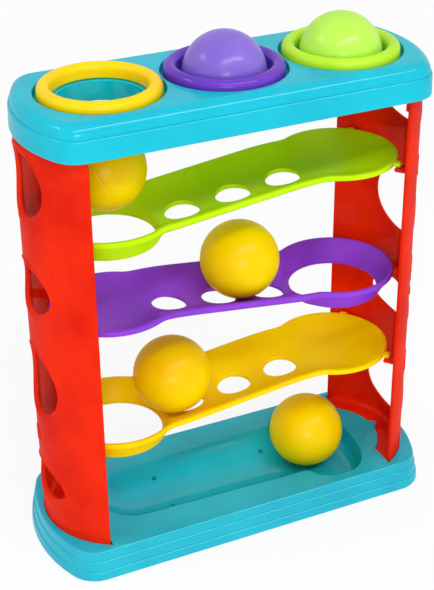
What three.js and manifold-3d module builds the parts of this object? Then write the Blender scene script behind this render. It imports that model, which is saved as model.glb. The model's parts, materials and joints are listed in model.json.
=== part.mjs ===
// Ball pounding tower: three coloured rings on top hold balls that are knocked through.
// They roll down three sloping ramps between two pierced side panels into a tray in the base.
// Millimetres, +Z up, X along the length, front towards -Y, origin under the base's middle.

import * as THREE from 'three';
import { mergeVertices } from 'three/addons/utils/BufferGeometryUtils.js';
import Module from 'manifold-3d';

const wasm = await Module();
wasm.setup();

// Fits that many pieces share
const ballRadius = 24;
const seatGap = 0.3;
const cutOverrun = 6;

// Height of the housing's lower edge; the ramps and the panels' openings share it out
const housingBottom = 270.4;

// Coloured rings round the pounding holes; the rings set the spacing of everything below
const ringPlay = 2.3;
const ringWidth = 8.3;
const ringInnerRadius = ballRadius + ringPlay;
const ringOuterRadius = ringInnerRadius + ringWidth;
const ringBottomRound = 0.8;
const seatPlay = 1.6;
const seatRadius = ringOuterRadius + seatPlay;
const seatSpacing = 1.5;
const holePitch = 2 * seatRadius + seatSpacing;

// Ramps: one moulding, used three times; the middle one is turned end for end
const rampLevelShares = { yellow: 0.2604, purple: 0.5041, green: 0.7507 };
const rampSlope = 0.12;
const rampFloorRise = 8.95;
const rampWall = 2.4;
const dropHolePlay = 3.5;
const dropHoleRadius = ballRadius + dropHolePlay;
const collarFlare = 10.1;
const collarRadius = dropHoleRadius + collarFlare;
const collarHeight = 13.5;
const collarLip = 0.8;
const collarWall = 2.5;
const padInset = 1.1;
const padRadius = collarRadius - padInset;
const padRimHeight = 23.7;
const troughInset = 6.5;
const troughHalfWidth = padRadius - troughInset;
const troughDepth = 10.2;
const troughPower = 2.2;
const floorShares = [0.3, 0.65];
const undersideShare = 0.6;
const waistFillet = 14;
const rimWidth = 2.3;
const rimHeight = 3.1;
const rimSkirt = 1.4;
const windowRadius = 10.5;
const windowPitch = 32.5;
const windowOffset = 5;
const earAngle = 48;
const earWidth = 5;
const earHeight = 2.8;
const earLength = 3.6;
const earDrop = 0.5;
const earRoot = 1.8;
const tabHeight = 4.2;
const pegRadius = 1.4;
const pegLength = 3.8;
const pegInset = 1.9;
const bracketWidth = 8;
const bracketThickness = 2.5;

// Side panels: an arc-shaped wall round the ramps' ends, with brackets for them
const rampEndRoom = 8.9;
const panelWall = 2.5;
const panelInner = collarRadius + rampEndRoom;
const panelRadius = panelInner + panelWall;
const panelSetback = 0.6;
const panelCentre = holePitch - panelSetback;
const panelTurn = THREE.MathUtils.degToRad(60.39);
const panelHalfDepth = panelRadius * Math.sin(panelTurn);
const panelEdge = panelCentre + panelInner * Math.cos(panelTurn);
const panelFoot = 5.8;
const panelTabInset = 1.8;
const panelTabRoot = 8;
const flangeThickness = 2.5;
const openingHalfWidth = 21.4;
const openingCountersink = 1.6;
const openingRimWidth = 3.8;
const openingRimRise = 0.6;
const screwBossRadius = 3.8;
const screwBossInset = 7.7;
const screwBossX = panelEdge + screwBossInset;
const screwBossSetback = 11.6;
const screwBossY = panelHalfDepth - screwBossSetback;
const tongueRadius = 34;
const tongueBumpRadius = 3.6;

// Top housing: a shell with a bead line, a round shoulder and three ring seats
const housingHeight = 20.6;
const housingTop = housingBottom + housingHeight;
const housingEndRoom = 0.9;
const housingHalfLength = panelCentre + panelRadius + housingEndRoom;
const housingSideRoom = 4.3;
const housingHalfWidth = panelHalfDepth + housingSideRoom;
const housingEndRadius = 80;
const housingCornerRadius = 17.7;
const housingWall = 2.3;
const beadDrop = 8;
const beadHeight = housingTop - beadDrop;
const beadStep = 0.7;
const beadLean = 0.4;
const shoulderRadius = 7;
const shoulderHollowShare = 0.6;
const housingDeck = 2.4;
const seatDepth = 4.2;
const seatFloor = housingTop - seatDepth;
const tubeWall = 2.2;
const tubeRise = 4.6;
const tubeBottom = housingBottom + tubeRise;
const slotRibWall = 1.8;
const ribShare = 0.75;
const panelTop = beadHeight;
const ringRise = 4.7;
const ringTop = housingTop + ringRise;

// Base: a flared skirt in three tiers round a flat deck, hollow from below
const baseEndRoom = 7.2;
const baseHalfLength = panelCentre + panelRadius + baseEndRoom;
const baseSideRoom = 8.2;
const baseHalfWidth = panelHalfDepth + baseSideRoom;
const baseEndRadius = 95;
const baseCornerRadius = 19.4;
const deckHeight = 19;
const deckEdgeRadius = 1.2;
const baseWall = 2.2;
const tierStep = 0.9;
const tierLean = 0.45;
const tierEdge = 0.6;
const tierShares = [0, 0.31, 0.668];
const ribThickness = 1.8;
const ribFootHeight = 3;
const ribPitch = 36;
const ribCount = 4;

// Tray: a round-bottomed trough that falls gently to a wide dish at its right end
const trayFloor = 5;
const trayFallSlope = 0.031;
const troughRoom = 10;
const troughRadius = ballRadius + troughRoom;
const troughTurn = THREE.MathUtils.degToRad(66);
const trayEndSetback = 7.9;
const trayLeftEnd = holePitch - trayEndSetback;
const dishSetback = 9.4;
const dishCentre = holePitch - dishSetback;
const dishHalfLength = 24.4;
const dishMargin = 10;
const dishHalfWidth = baseHalfWidth - dishMargin;
const dishSquareness = 2.4;
const dishShares = [[0, 0.62], [0.07, 0.78], [0.28, 0.9], [0.58, 0.965], [1, 1], [1.5, 1.03]];
const drainRadius = 1.2;
const drainShares = [-0.616, 0.43];
const drainOffsetY = 15.5;

// Screws, driven up through the base into the panels' feet
const screwRadius = 1.45;
const screwHeadRadius = 3;
const screwHeadHeight = 1.9;
const screwHeadRoundShare = 0.45;
const screwHeadFlatShare = 0.75;
const screwReach = 8.2;
const screwTip = panelFoot + screwReach;
const screwTipCone = 1.5;
const screwPlate = 2.5;
const screwDriveWidth = 1;
const screwDriveLength = 3.6;
const screwDriveDepth = 0.8;

// Where the loose balls lie: in their rings, in the air as one falls, on two ramps and in the tray
const seatedBallDrop = 2.4;
const seatedBallHeight = housingTop - seatedBallDrop;
const fallenDistance = 26;
const fallingBallHeight = housingBottom - fallenDistance;
const purpleRampBallX = 9.2;
const yellowRampBallX = -36.8;
const trayBallX = 57.6;

// Panel openings from the foot up, as shares of the housing's height: middle, then half height
const rightOpeningShares = [
  [0.1886, 0.074],
  [0.4312, 0.0429],
  [0.6916, 0.0814],
  [0.9342, 0.0466],
];
const leftOpeningShares = [
  [0.1768, 0.0381],
  [0.4371, 0.0769],
  [0.6672, 0.0518],
  [0.9098, 0.0725],
];

// How finely round things are faceted
const arcSteps = 8;
const troughSteps = 5;
const shoulderSteps = 3;
const crownSteps = 4;
const dishPoints = 18;
const tonguePoints = 28;
const openingPoints = 14;
const seatPoints = 22;
const collarPoints = 18;
const ringPoints = 22;
const holePoints = 12;
const smallHolePoints = 8;

const colours = {
  turquoise: 0x00b7cc,
  red: 0xee2a12,
  yellow: 0xffd000,
  green: 0x8ccc00,
  paleGreen: 0xa5e84b,
  purple: 0x7a3cb8,
  palePurple: 0x7f62c8,
  steel: 0xb8bcc0,
};

// Solids and meshes

function solidFrom(geometry) {
  const bare = geometry.clone();
  bare.deleteAttribute('normal');
  bare.deleteAttribute('uv');
  const merged = mergeVertices(bare, 1e-4);
  const index = merged.index.array;
  const kept = [];
  for (let i = 0; i < index.length; i += 3) {
    const [a, b, c] = [index[i], index[i + 1], index[i + 2]];
    if (a !== b && b !== c && c !== a) kept.push(a, b, c);
  }
  return new wasm.Manifold(new wasm.Mesh({
    numProp: 3,
    vertProperties: new Float32Array(merged.attributes.position.array),
    triVerts: new Uint32Array(kept),
  }));
}

function geometryFrom(solid) {
  const mesh = solid.getMesh();
  const geometry = new THREE.BufferGeometry();
  geometry.setAttribute('position', new THREE.BufferAttribute(new Float32Array(mesh.vertProperties), 3));
  geometry.setIndex(new THREE.BufferAttribute(new Uint32Array(mesh.triVerts), 1));
  geometry.computeVertexNormals();
  return geometry;
}

function joined(solids) {
  return solids.reduce((all, next) => all.add(next));
}

function turned(solid, turn) {
  return solidFrom(geometryFrom(solid).rotateZ(turn));
}

// Faces between rings with equal point counts, wound anticlockwise from above, bottom ring first
function sides(ringCount, count, closed) {
  const index = [];
  for (let k = 0; k + (closed ? 0 : 1) < ringCount; k += 1) {
    for (let i = 0; i < count; i += 1) {
      const next = (i + 1) % count;
      const upper = (k + 1) % ringCount * count;
      index.push(k * count + i, k * count + next, upper + next, k * count + i, upper + next, upper + i);
    }
  }
  return index;
}

// A ring-shaped body: its cross-section's corners are whole rings, and the last joins the first
function hoop(rings) {
  const geometry = new THREE.BufferGeometry().setFromPoints(rings.flat());
  geometry.setIndex(sides(rings.length, rings[0].length, true));
  return geometry;
}

// A closed body through a stack of rings, with flat caps
function loftGeometry(rings) {
  const count = rings[0].length;
  const points = rings.flat();
  const index = sides(rings.length, count, false);
  const capOf = (ring) => THREE.ShapeUtils.triangulateShape(ring.map((p) => new THREE.Vector2(p.x, p.y)), []);
  for (const [a, b, c] of capOf(rings[0])) index.push(a, c, b);
  const top = (rings.length - 1) * count;
  for (const [a, b, c] of capOf(rings[rings.length - 1])) index.push(top + a, top + b, top + c);
  const geometry = new THREE.BufferGeometry().setFromPoints(points);
  geometry.setIndex(index);
  return geometry;
}

const loft = (rings) => solidFrom(loftGeometry(rings));

// A closed body whose first and last rings lie on its spine, so that no cap is needed
function fanned(rings) {
  const geometry = new THREE.BufferGeometry().setFromPoints(rings.flat());
  geometry.setIndex(sides(rings.length, rings[0].length, false));
  return solidFrom(geometry);
}

function prism(shape, bottom, top) {
  const geometry = new THREE.ExtrudeGeometry(shape, { depth: top - bottom, bevelEnabled: false });
  return solidFrom(geometry.translate(0, 0, bottom));
}

function disc(radius, x, y, bottom, top, segments) {
  const geometry = new THREE.CylinderGeometry(radius, radius, top - bottom, segments);
  return solidFrom(geometry.rotateX(Math.PI / 2).translate(x, y, (top + bottom) / 2));
}

function block(sizeX, sizeY, x, y, bottom, top) {
  return solidFrom(new THREE.BoxGeometry(sizeX, sizeY, top - bottom).translate(x, y, (top + bottom) / 2));
}

function lathe(profile, segments) {
  const geometry = new THREE.LatheGeometry(profile.map(([r, z]) => new THREE.Vector2(r, z)), segments);
  return geometry.rotateX(Math.PI / 2);
}

function arcPoints(x, y, radius, from, to, steps) {
  return Array.from({ length: steps + 1 }, (_, i) => {
    const angle = from + (to - from) * i / steps;
    return new THREE.Vector2(x + radius * Math.cos(angle), y + radius * Math.sin(angle));
  });
}

// Plan outline of the base and the housing: straight sides, arc ends and rounded corners.
// An inset gives the parallel outline inside it.
function plan(halfLength, halfWidth, endRadius, cornerRadius, inset = 0) {
  const end = endRadius - inset;
  const corner = Math.max(cornerRadius - inset, seatGap);
  const width = halfWidth - inset;
  const centre = halfLength - endRadius;
  const cornerX = centre + Math.sqrt((end - corner) ** 2 - (width - corner) ** 2);
  const turn = Math.atan2(width - corner, cornerX - centre);
  const right = [
    ...arcPoints(cornerX, corner - width, corner, -Math.PI / 2, -turn, 4),
    ...arcPoints(centre, 0, end, -turn, turn, 5).slice(1, -1),
    ...arcPoints(cornerX, width - corner, corner, turn, Math.PI / 2, 4),
  ];
  return [...right, ...right.map((p) => new THREE.Vector2(-p.x, -p.y))];
}

function ringAt(outline, z) {
  return outline.map((p) => new THREE.Vector3(p.x, p.y, z));
}

const basePlan = (inset) => plan(baseHalfLength, baseHalfWidth, baseEndRadius, baseCornerRadius, inset);
const housingPlan = (inset) => plan(
  housingHalfLength, housingHalfWidth, housingEndRadius, housingCornerRadius, inset);

// Side panels

// An arc of the panel's wall; shorter arcs keep the same facets, so that they fit each other
function panelArc(inner, outer, turn = panelTurn) {
  const steps = Math.round(arcSteps * turn / panelTurn);
  const shape = new THREE.Shape(arcPoints(panelCentre, 0, outer, -turn, turn, steps));
  for (const p of arcPoints(panelCentre, 0, inner, turn, -turn, steps)) shape.lineTo(p.x, p.y);
  return shape;
}

// The region between a chord across the panel and an arc round its centre
function panelSegment(edge, outer) {
  const turn = Math.acos((edge - panelCentre) / outer);
  return new THREE.Shape(arcPoints(panelCentre, 0, outer, -turn, turn, arcSteps));
}

// An oval on the panel's curved wall: its half height and half width are measured along the surface
function ovalOnWall(height, halfHeight, growth, radius) {
  const halfWidth = openingHalfWidth + growth;
  return Array.from({ length: openingPoints }, (_, i) => {
    const angle = 2 * Math.PI * i / openingPoints;
    const turn = halfWidth * Math.cos(angle) / panelRadius;
    const z = height + (halfHeight + growth) * Math.sin(angle);
    return new THREE.Vector3(panelCentre + radius * Math.cos(turn), radius * Math.sin(turn), z);
  });
}

function openingRim([height, half]) {
  const root = panelRadius - panelWall / 2;
  const crest = panelRadius + openingRimRise;
  return solidFrom(hoop([
    ovalOnWall(height, half, -openingCountersink / 2, root),
    ovalOnWall(height, half, openingRimWidth, root),
    ovalOnWall(height, half, openingRimWidth - openingRimRise, crest),
    ovalOnWall(height, half, openingCountersink, crest),
  ]));
}

function openingCut([height, half]) {
  const inside = ovalOnWall(height, half, 0, panelInner - cutOverrun);
  const waist = ovalOnWall(height, half, 0, panelRadius - panelWall / 2);
  const mouth = ovalOnWall(height, half, openingCountersink, panelRadius + openingRimRise);
  const outside = ovalOnWall(height, half, openingCountersink, panelRadius + 2 * cutOverrun);
  const upright = (ring) => ring.map((p) => new THREE.Vector3(p.y, p.z, p.x));
  const geometry = loftGeometry([inside, waist, mouth, outside].map(upright));
  geometry.applyMatrix4(new THREE.Matrix4().makeBasis(
    new THREE.Vector3(0, 1, 0), new THREE.Vector3(0, 0, 1), new THREE.Vector3(1, 0, 0)));
  return solidFrom(geometry);
}

function tonguePlan(clearance) {
  const bottom = -cutOverrun;
  const circle = disc(tongueRadius + clearance, holePitch, 0, bottom, panelTop, tonguePoints);
  return circle.add(disc(
    tongueBumpRadius + clearance, holePitch + tongueRadius, 0, bottom, panelTop, holePoints));
}

// Where a ramp's end stands on this panel: pads rest by two ears, collars by one tab on the axis
const padRests = (level) => [-1, 1].map((side) => ({
  radius: padRadius,
  angle: side * THREE.MathUtils.degToRad(earAngle),
  bottom: level + padRimHeight - earDrop - earHeight,
}));
const collarRests = (level) => [{ radius: collarRadius, angle: 0, bottom: level + tabHeight }];

// A bracket on the wall under an ear, with a hole for the ear's peg
function bracket({ radius, angle, bottom }) {
  const top = bottom - seatGap;
  const start = radius + seatGap;
  const length = panelInner + panelWall / 2 - panelSetback - start;
  const arm = block(length, bracketWidth, start + length / 2, 0, top - bracketThickness, top);
  const hole = disc(
    pegRadius + seatGap, radius + pegInset, 0, top - cutOverrun, top + cutOverrun, smallHolePoints);
  return solidFrom(geometryFrom(arm.subtract(hole)).rotateZ(angle).translate(holePitch, 0, 0));
}

function panelSolid(rests, openingShares) {
  const flangeTop = deckHeight - seatGap;
  const wallTop = housingBottom - seatGap;
  const tabInner = panelInner - panelTabInset;
  const wall = prism(panelArc(panelInner, panelRadius), panelFoot, wallTop);
  const tab = prism(panelArc(tabInner, tabInner + panelWall), wallTop - panelTabRoot, panelTop);
  const flangeShape = panelSegment(panelEdge, panelRadius - panelWall / 2);
  const flange = prism(flangeShape, flangeTop - flangeThickness, flangeTop).subtract(tonguePlan(seatGap));
  const bosses = [-1, 1].map((side) => disc(
    screwBossRadius, screwBossX, side * screwBossY, panelFoot, flangeTop - flangeThickness / 2, holePoints));
  const openings = openingShares.map((shares) => shares.map((share) => share * housingBottom));
  let panel = joined([wall, tab, flange, ...rests.map(bracket), ...bosses, ...openings.map(openingRim)]);
  for (const opening of openings) panel = panel.subtract(openingCut(opening));
  for (const side of [-1, 1]) {
    panel = panel.subtract(disc(screwRadius + seatGap, screwBossX, side * screwBossY,
      panelFoot - cutOverrun, screwTip + seatGap, smallHolePoints));
  }
  return panel;
}

// Ramps, in their own frame: the drop collar at -X, the landing pad at +X, zero at the collar's lower edge

const rampFloorAt = (x) => rampFloorRise + rampSlope * x;
const rampRimAt = (x) => Math.min(Math.max(rampFloorAt(x) + troughDepth, collarHeight), padRimHeight);

function rampOutline() {
  const side = (radius) => Math.sqrt((radius + waistFillet) ** 2 - (troughHalfWidth + waistFillet) ** 2);
  const padX = holePitch - side(padRadius);
  const collarX = side(collarRadius) - holePitch;
  const filletY = troughHalfWidth + waistFillet;
  const padTurn = Math.atan2(filletY, padX - holePitch);
  const collarTurn = Math.atan2(filletY, collarX + holePitch);
  const straight = [1, 2, 3].map((k) => new THREE.Vector2(padX + (collarX - padX) * k / 4, troughHalfWidth));
  const upper = [
    ...arcPoints(holePitch, 0, padRadius, 0, padTurn, 6),
    ...arcPoints(padX, filletY, waistFillet, padTurn - Math.PI, -Math.PI / 2, 2).slice(1),
    ...straight,
    ...arcPoints(collarX, filletY, waistFillet, -Math.PI / 2, collarTurn - Math.PI, 2),
    ...arcPoints(-holePitch, 0, collarRadius, collarTurn, Math.PI, 6).slice(1),
  ];
  const lower = upper.slice(1, -1).reverse().map((p) => new THREE.Vector2(p.x, -p.y));
  return [...upper, ...lower];
}

const rampSpine = (p) => Math.min(Math.max(p.x, -holePitch), holePitch);

// A ring of the ramp's outline, drawn in towards its spine by an inset and then by a share
function rampRing(outline, inset, share, heightOf) {
  return outline.map((p) => {
    const middle = rampSpine(p);
    const reach = Math.hypot(p.x - middle, p.y);
    const kept = (reach - inset) / reach * share;
    const x = middle + (p.x - middle) * kept;
    return new THREE.Vector3(x, p.y * kept, heightOf(x, share));
  });
}

// Height of the running surface at a share of the way out from the spine to the rim
const rampSurface = (x, share) => rampFloorAt(x) + (rampRimAt(x) - rampFloorAt(x)) * share ** troughPower;

// The drop collar's funnel inside, and its tapered skirt outside, which ends within the rim
const collarConeAt = (z) => dropHoleRadius + (collarRadius - rimWidth - dropHoleRadius) * z / collarHeight;
const collarSkirtTop = collarHeight - rimHeight / 2;
const collarSkirtFoot = dropHoleRadius + collarWall;
const collarSkirtFlare = collarRadius - rimWidth / 2 - collarSkirtFoot;
const collarSkirtAt = (z) => collarSkirtFoot + collarSkirtFlare * z / collarSkirtTop;

function rampSolid() {
  const outline = rampOutline();
  const under = (x, share) => rampSurface(x, share) - rampWall;
  const rimBottom = (x) => rampRimAt(x) - rimHeight;
  const crown = (x) => rampRimAt(x);
  const clear = (x) => rampRimAt(x) + cutOverrun;
  const ringOf = (inset, share, heightOf) => rampRing(outline, inset, share, heightOf);
  const body = fanned([
    ringOf(rimSkirt, 0, under),
    ringOf(rimSkirt, undersideShare, under),
    ringOf(rimSkirt, 1, rimBottom),
    ringOf(0, 1, rimBottom),
    ringOf(0, 1, crown),
    ringOf(rimWidth, 0, crown),
  ]);
  const channel = fanned([
    ringOf(rimWidth, 0, rampSurface),
    ...floorShares.map((share) => ringOf(rimWidth, share, rampSurface)),
    ringOf(rimWidth, 1, crown),
    ringOf(rimWidth, 1, clear),
    ringOf(rimWidth, 0, clear),
  ]);
  const collar = lathe([
    [0, -collarLip],
    [collarSkirtAt(0), -collarLip],
    [collarSkirtAt(0), 0],
    [collarSkirtAt(collarSkirtTop), collarSkirtTop],
    [0, collarSkirtTop],
  ], collarPoints).translate(-holePitch, 0, 0);
  const funnel = lathe([
    [0, -cutOverrun],
    [dropHoleRadius, -cutOverrun],
    [dropHoleRadius, 0],
    [collarConeAt(collarHeight), collarHeight],
    [collarConeAt(collarHeight), collarHeight + cutOverrun],
    [0, collarHeight + cutOverrun],
  ], collarPoints).translate(-holePitch, 0, 0);
  let ramp = body.add(solidFrom(collar)).subtract(channel).subtract(solidFrom(funnel));
  for (const step of [-1, 0, 1]) {
    ramp = ramp.subtract(disc(windowRadius, windowOffset + step * windowPitch, 0, -cutOverrun,
      padRimHeight + cutOverrun, holePoints));
  }
  return joined([ramp, ...padRests(0).map((rest) => rampEar(rest, 0)),
    ...collarRests(0).map((rest) => rampEar(rest, Math.PI))]);
}

// A round-ended ear that rests on a panel's bracket, with a peg down through it
function rampEar({ radius, angle, bottom }, turn) {
  const root = turn ? collarRadius - collarSkirtAt(tabHeight) + earRoot : earRoot;
  const half = earWidth / 2;
  const end = radius + earLength - half;
  const shape = new THREE.Shape(arcPoints(end, 0, half, -Math.PI / 2, Math.PI / 2, 4));
  shape.lineTo(radius - root, half);
  shape.lineTo(radius - root, -half);
  const ear = prism(shape, bottom, bottom + earHeight);
  const peg = disc(
    pegRadius, radius + pegInset, 0, bottom - pegLength, bottom + earHeight / 2, smallHolePoints);
  const placed = geometryFrom(ear.add(peg)).rotateZ(angle).translate(holePitch, 0, 0);
  return solidFrom(placed.rotateZ(turn));
}

// Base

const trayFloorAt = (x) => trayFloor + trayFallSlope * (dishCentre - x);

// The trough's outline at a turn up its round bottom: a half circle on the left, straight sides to the dish
function troughRing(radius, reachTurn, riseTurn) {
  const reach = radius * Math.sin(reachTurn);
  const rise = troughRadius - radius * Math.cos(riseTurn);
  return [
    ...arcPoints(-trayLeftEnd, 0, reach, Math.PI / 2, 3 * Math.PI / 2, arcSteps),
    new THREE.Vector2(dishCentre, -reach),
    new THREE.Vector2(dishCentre, reach),
  ].map((p) => new THREE.Vector3(p.x, p.y, trayFloorAt(p.x) + rise));
}

// The dish's outline at a share of its depth: a squared oval
function dishRing(grown, depthShare, sizeShare) {
  const halfX = dishHalfLength * sizeShare + grown;
  const halfY = dishHalfWidth - dishHalfLength * (1 - sizeShare) + grown;
  const squared = (value) => Math.sign(value) * Math.abs(value) ** (2 / dishSquareness);
  return Array.from({ length: dishPoints }, (_, i) => {
    const angle = 2 * Math.PI * i / dishPoints;
    return new THREE.Vector3(dishCentre + halfX * squared(Math.cos(angle)), halfY * squared(Math.sin(angle)),
      trayFloor - grown + (deckHeight - trayFloor) * depthShare);
  });
}

// Everything that the tray takes out of the deck, grown by a wall for its underside
function trayHollow(grown) {
  const radius = troughRadius + grown;
  const turns = Array.from({ length: troughSteps + 1 }, (_, k) => troughTurn * k / troughSteps);
  const bottom = turns.map((turn) => troughRing(radius, turn, turn));
  const dish = dishShares.map(([depthShare, sizeShare]) => dishRing(grown, depthShare, sizeShare));
  return fanned([...bottom, troughRing(radius, 0, troughTurn)]).add(loft(dish));
}

// The skirt's outline at each level
function skirtRings() {
  const feet = tierShares.map((share) => share * deckHeight);
  return feet.flatMap((bottom, k) => {
    const last = k + 1 === feet.length;
    const top = last ? deckHeight : feet[k + 1];
    const edge = last ? deckEdgeRadius : tierEdge;
    const inset = k * (tierStep + tierLean);
    return [[bottom, inset], [top - edge, inset + tierLean], [top, inset + tierLean + edge]];
  }).map(([z, inset]) => ringAt(basePlan(inset), z));
}

function baseSolid() {
  const body = loft(skirtRings());
  const underside = deckHeight - baseWall;
  const skirtInset = tierShares.length * (tierStep + tierLean);
  const hollow = loft([
    ringAt(basePlan(baseWall), -cutOverrun),
    ringAt(basePlan(baseWall), 0),
    ringAt(basePlan(skirtInset + baseWall), underside),
  ]);
  const core = loft([
    ringAt(basePlan(baseWall / 2), 0),
    ringAt(basePlan(skirtInset + baseWall / 2), deckHeight - baseWall / 2),
  ]);
  const pocketTop = deckHeight + cutOverrun;
  const pocketFloor = deckHeight - flangeThickness - 2 * seatGap;
  const slotFloor = panelFoot - seatGap;
  const wellFloor = slotFloor - screwPlate;
  const slotInner = panelInner - seatGap;
  const slotOuter = panelRadius + seatGap;
  const slotTurn = Math.asin((panelHalfDepth + seatGap) / slotOuter);
  const wellTurn = Math.asin((panelHalfDepth + seatGap + baseWall / 2) / slotOuter);
  const plate = prism(panelSegment(panelEdge - seatGap - baseWall, slotOuter + baseWall / 2),
    pocketFloor - baseWall, underside + baseWall / 2);
  const well = prism(panelArc(slotInner - baseWall, slotOuter + baseWall, wellTurn), wellFloor, pocketFloor);
  const pocket = prism(panelSegment(panelEdge - seatGap, slotOuter), pocketFloor, pocketTop)
    .subtract(tonguePlan(0));
  const slot = prism(panelArc(slotInner, slotOuter, slotTurn), slotFloor, pocketTop);
  const bosses = [-1, 1].map((side) => [screwBossX, side * screwBossY]);
  const drilled = (radius, bottom, top, points) => bosses.map(
    ([x, y]) => disc(radius, x, y, bottom, top, points));
  const bossRoom = screwBossRadius + seatGap;
  const seats = joined([plate, well, ...drilled(bossRoom + baseWall, wellFloor, pocketFloor, holePoints)]);
  const cuts = joined([pocket, slot, ...drilled(bossRoom, slotFloor, pocketTop, holePoints),
    ...drilled(screwRadius + seatGap, -cutOverrun, pocketTop, smallHolePoints)]);
  const ribs = Array.from({ length: ribCount }, (_, k) => block(ribThickness, 2 * baseHalfWidth,
    (k - (ribCount - 1) / 2) * ribPitch, 0, ribFootHeight, underside + baseWall / 2));
  const inside = joined([trayHollow(baseWall), ...ribs, seats, turned(seats, Math.PI)]).intersect(core);
  let base = body.subtract(hollow).add(inside).subtract(trayHollow(0));
  base = base.subtract(cuts).subtract(turned(cuts, Math.PI));
  for (const share of drainShares) {
    for (const y of [-drainOffsetY, drainOffsetY]) {
      base = base.subtract(disc(
        drainRadius, share * holePitch, y, -cutOverrun, deckHeight + cutOverrun, smallHolePoints));
    }
  }
  return base;
}

// Top housing

function housingSolid() {
  const shoulder = Array.from({ length: shoulderSteps + 1 }, (_, step) => {
    const angle = step / shoulderSteps * Math.PI / 2;
    return [housingTop - shoulderRadius * (1 - Math.sin(angle)),
      beadStep + beadLean + shoulderRadius * (1 - Math.cos(angle))];
  });
  const levels = [
    [housingBottom, 0],
    [beadHeight - beadStep, beadLean],
    [beadHeight, beadStep + beadLean],
    ...shoulder,
  ];
  const body = loft(levels.map(([z, inset]) => ringAt(housingPlan(inset), z)));
  const hollow = loft([
    ringAt(housingPlan(housingWall), housingBottom - cutOverrun),
    ringAt(housingPlan(housingWall), housingTop - shoulderRadius),
    ringAt(housingPlan(housingWall + shoulderRadius * shoulderHollowShare), housingTop - housingDeck),
  ]);
  let housing = body.subtract(hollow);
  const bore = ballRadius + seatGap;
  const deckMiddle = housingTop - housingDeck / 2;
  for (const x of [-holePitch, 0, holePitch]) {
    const seat = disc(seatRadius + tubeWall, x, 0, seatFloor - tubeWall, deckMiddle, seatPoints);
    const tube = disc(bore + tubeWall, x, 0, tubeBottom, seatFloor, seatPoints);
    housing = housing.add(seat.intersect(body)).add(tube);
  }
  const slotInner = panelInner - panelTabInset - seatGap;
  const rib = prism(panelArc(slotInner - slotRibWall, slotInner, panelTurn * ribShare),
    beadHeight - shoulderRadius, deckMiddle);
  housing = housing.add(rib).add(turned(rib, Math.PI));
  const clear = housingTop + cutOverrun;
  for (const x of [-holePitch, 0, holePitch]) {
    housing = housing.subtract(disc(seatRadius, x, 0, seatFloor, clear, seatPoints));
    housing = housing.subtract(disc(bore, x, 0, housingBottom - cutOverrun, clear, seatPoints));
  }
  return housing;
}

// Rings, balls and screws

function ringGeometryOf() {
  const bottom = seatFloor + seatGap - ringTop;
  const middle = ringInnerRadius + ringWidth / 2;
  const crown = Array.from({ length: crownSteps + 1 }, (_, i) => {
    const angle = Math.PI * i / crownSteps;
    return [middle + ringWidth / 2 * Math.cos(angle), ringWidth / 2 * (Math.sin(angle) - 1)];
  });
  const profile = [
    [ringInnerRadius + ringBottomRound, bottom],
    [ringOuterRadius - ringBottomRound, bottom],
    [ringOuterRadius, bottom + ringBottomRound],
    ...crown,
    [ringInnerRadius, bottom + ringBottomRound],
    [ringInnerRadius + ringBottomRound, bottom],
  ];
  return lathe(profile, ringPoints);
}

function screwSolid() {
  const headBottom = panelFoot - seatGap - screwPlate - seatGap - screwHeadHeight;
  const headTop = headBottom + screwHeadHeight;
  const screw = solidFrom(lathe([
    [0, headBottom],
    [screwHeadRadius * screwHeadFlatShare, headBottom],
    [screwHeadRadius, headBottom + screwHeadHeight * screwHeadRoundShare],
    [screwHeadRadius, headTop],
    [screwRadius, headTop],
    [screwRadius, screwTip - screwTipCone],
    [0, screwTip],
  ], smallHolePoints));
  return screw.subtract(block(screwDriveLength, screwDriveWidth, 0, 0, headBottom - cutOverrun,
    headBottom + screwDriveDepth));
}

// Scene

const tower = new THREE.Group();

function material(colour, roughness = 0.35, metalness = 0) {
  return new THREE.MeshStandardMaterial({ color: colour, roughness, metalness });
}

function piece(name, geometry, finish, x = 0, y = 0, z = 0, turn = 0) {
  const mesh = new THREE.Mesh(geometry, finish);
  mesh.name = name;
  mesh.position.set(x, y, z);
  mesh.rotation.z = turn;
  tower.add(mesh);
}

piece('base', geometryFrom(baseSolid()), material(colours.turquoise));

const [yellowLevel, purpleLevel, greenLevel] = ['yellow', 'purple', 'green'].map(
  (name) => rampLevelShares[name] * housingBottom);
const rightRests = [...padRests(yellowLevel), ...collarRests(purpleLevel), ...padRests(greenLevel)];
const leftRests = [...collarRests(yellowLevel), ...padRests(purpleLevel), ...collarRests(greenLevel)];
piece('side_panel_right', geometryFrom(panelSolid(rightRests, rightOpeningShares)), material(colours.red));
piece('side_panel_left', geometryFrom(panelSolid(leftRests, leftOpeningShares)), material(colours.red),
  0, 0, 0, Math.PI);

const rampGeometry = geometryFrom(rampSolid());
piece('ramp_yellow', rampGeometry, material(colours.yellow), 0, 0, yellowLevel);
piece('ramp_purple', rampGeometry, material(colours.purple), 0, 0, purpleLevel, Math.PI);
piece('ramp_green', rampGeometry, material(colours.green), 0, 0, greenLevel);

piece('top_housing', geometryFrom(housingSolid()), material(colours.turquoise));

const ringGeometry = ringGeometryOf();
piece('ring_yellow', ringGeometry, material(colours.yellow), -holePitch, 0, ringTop);
piece('ring_purple', ringGeometry, material(colours.palePurple), 0, 0, ringTop);
piece('ring_green', ringGeometry, material(colours.green), holePitch, 0, ringTop);

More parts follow.
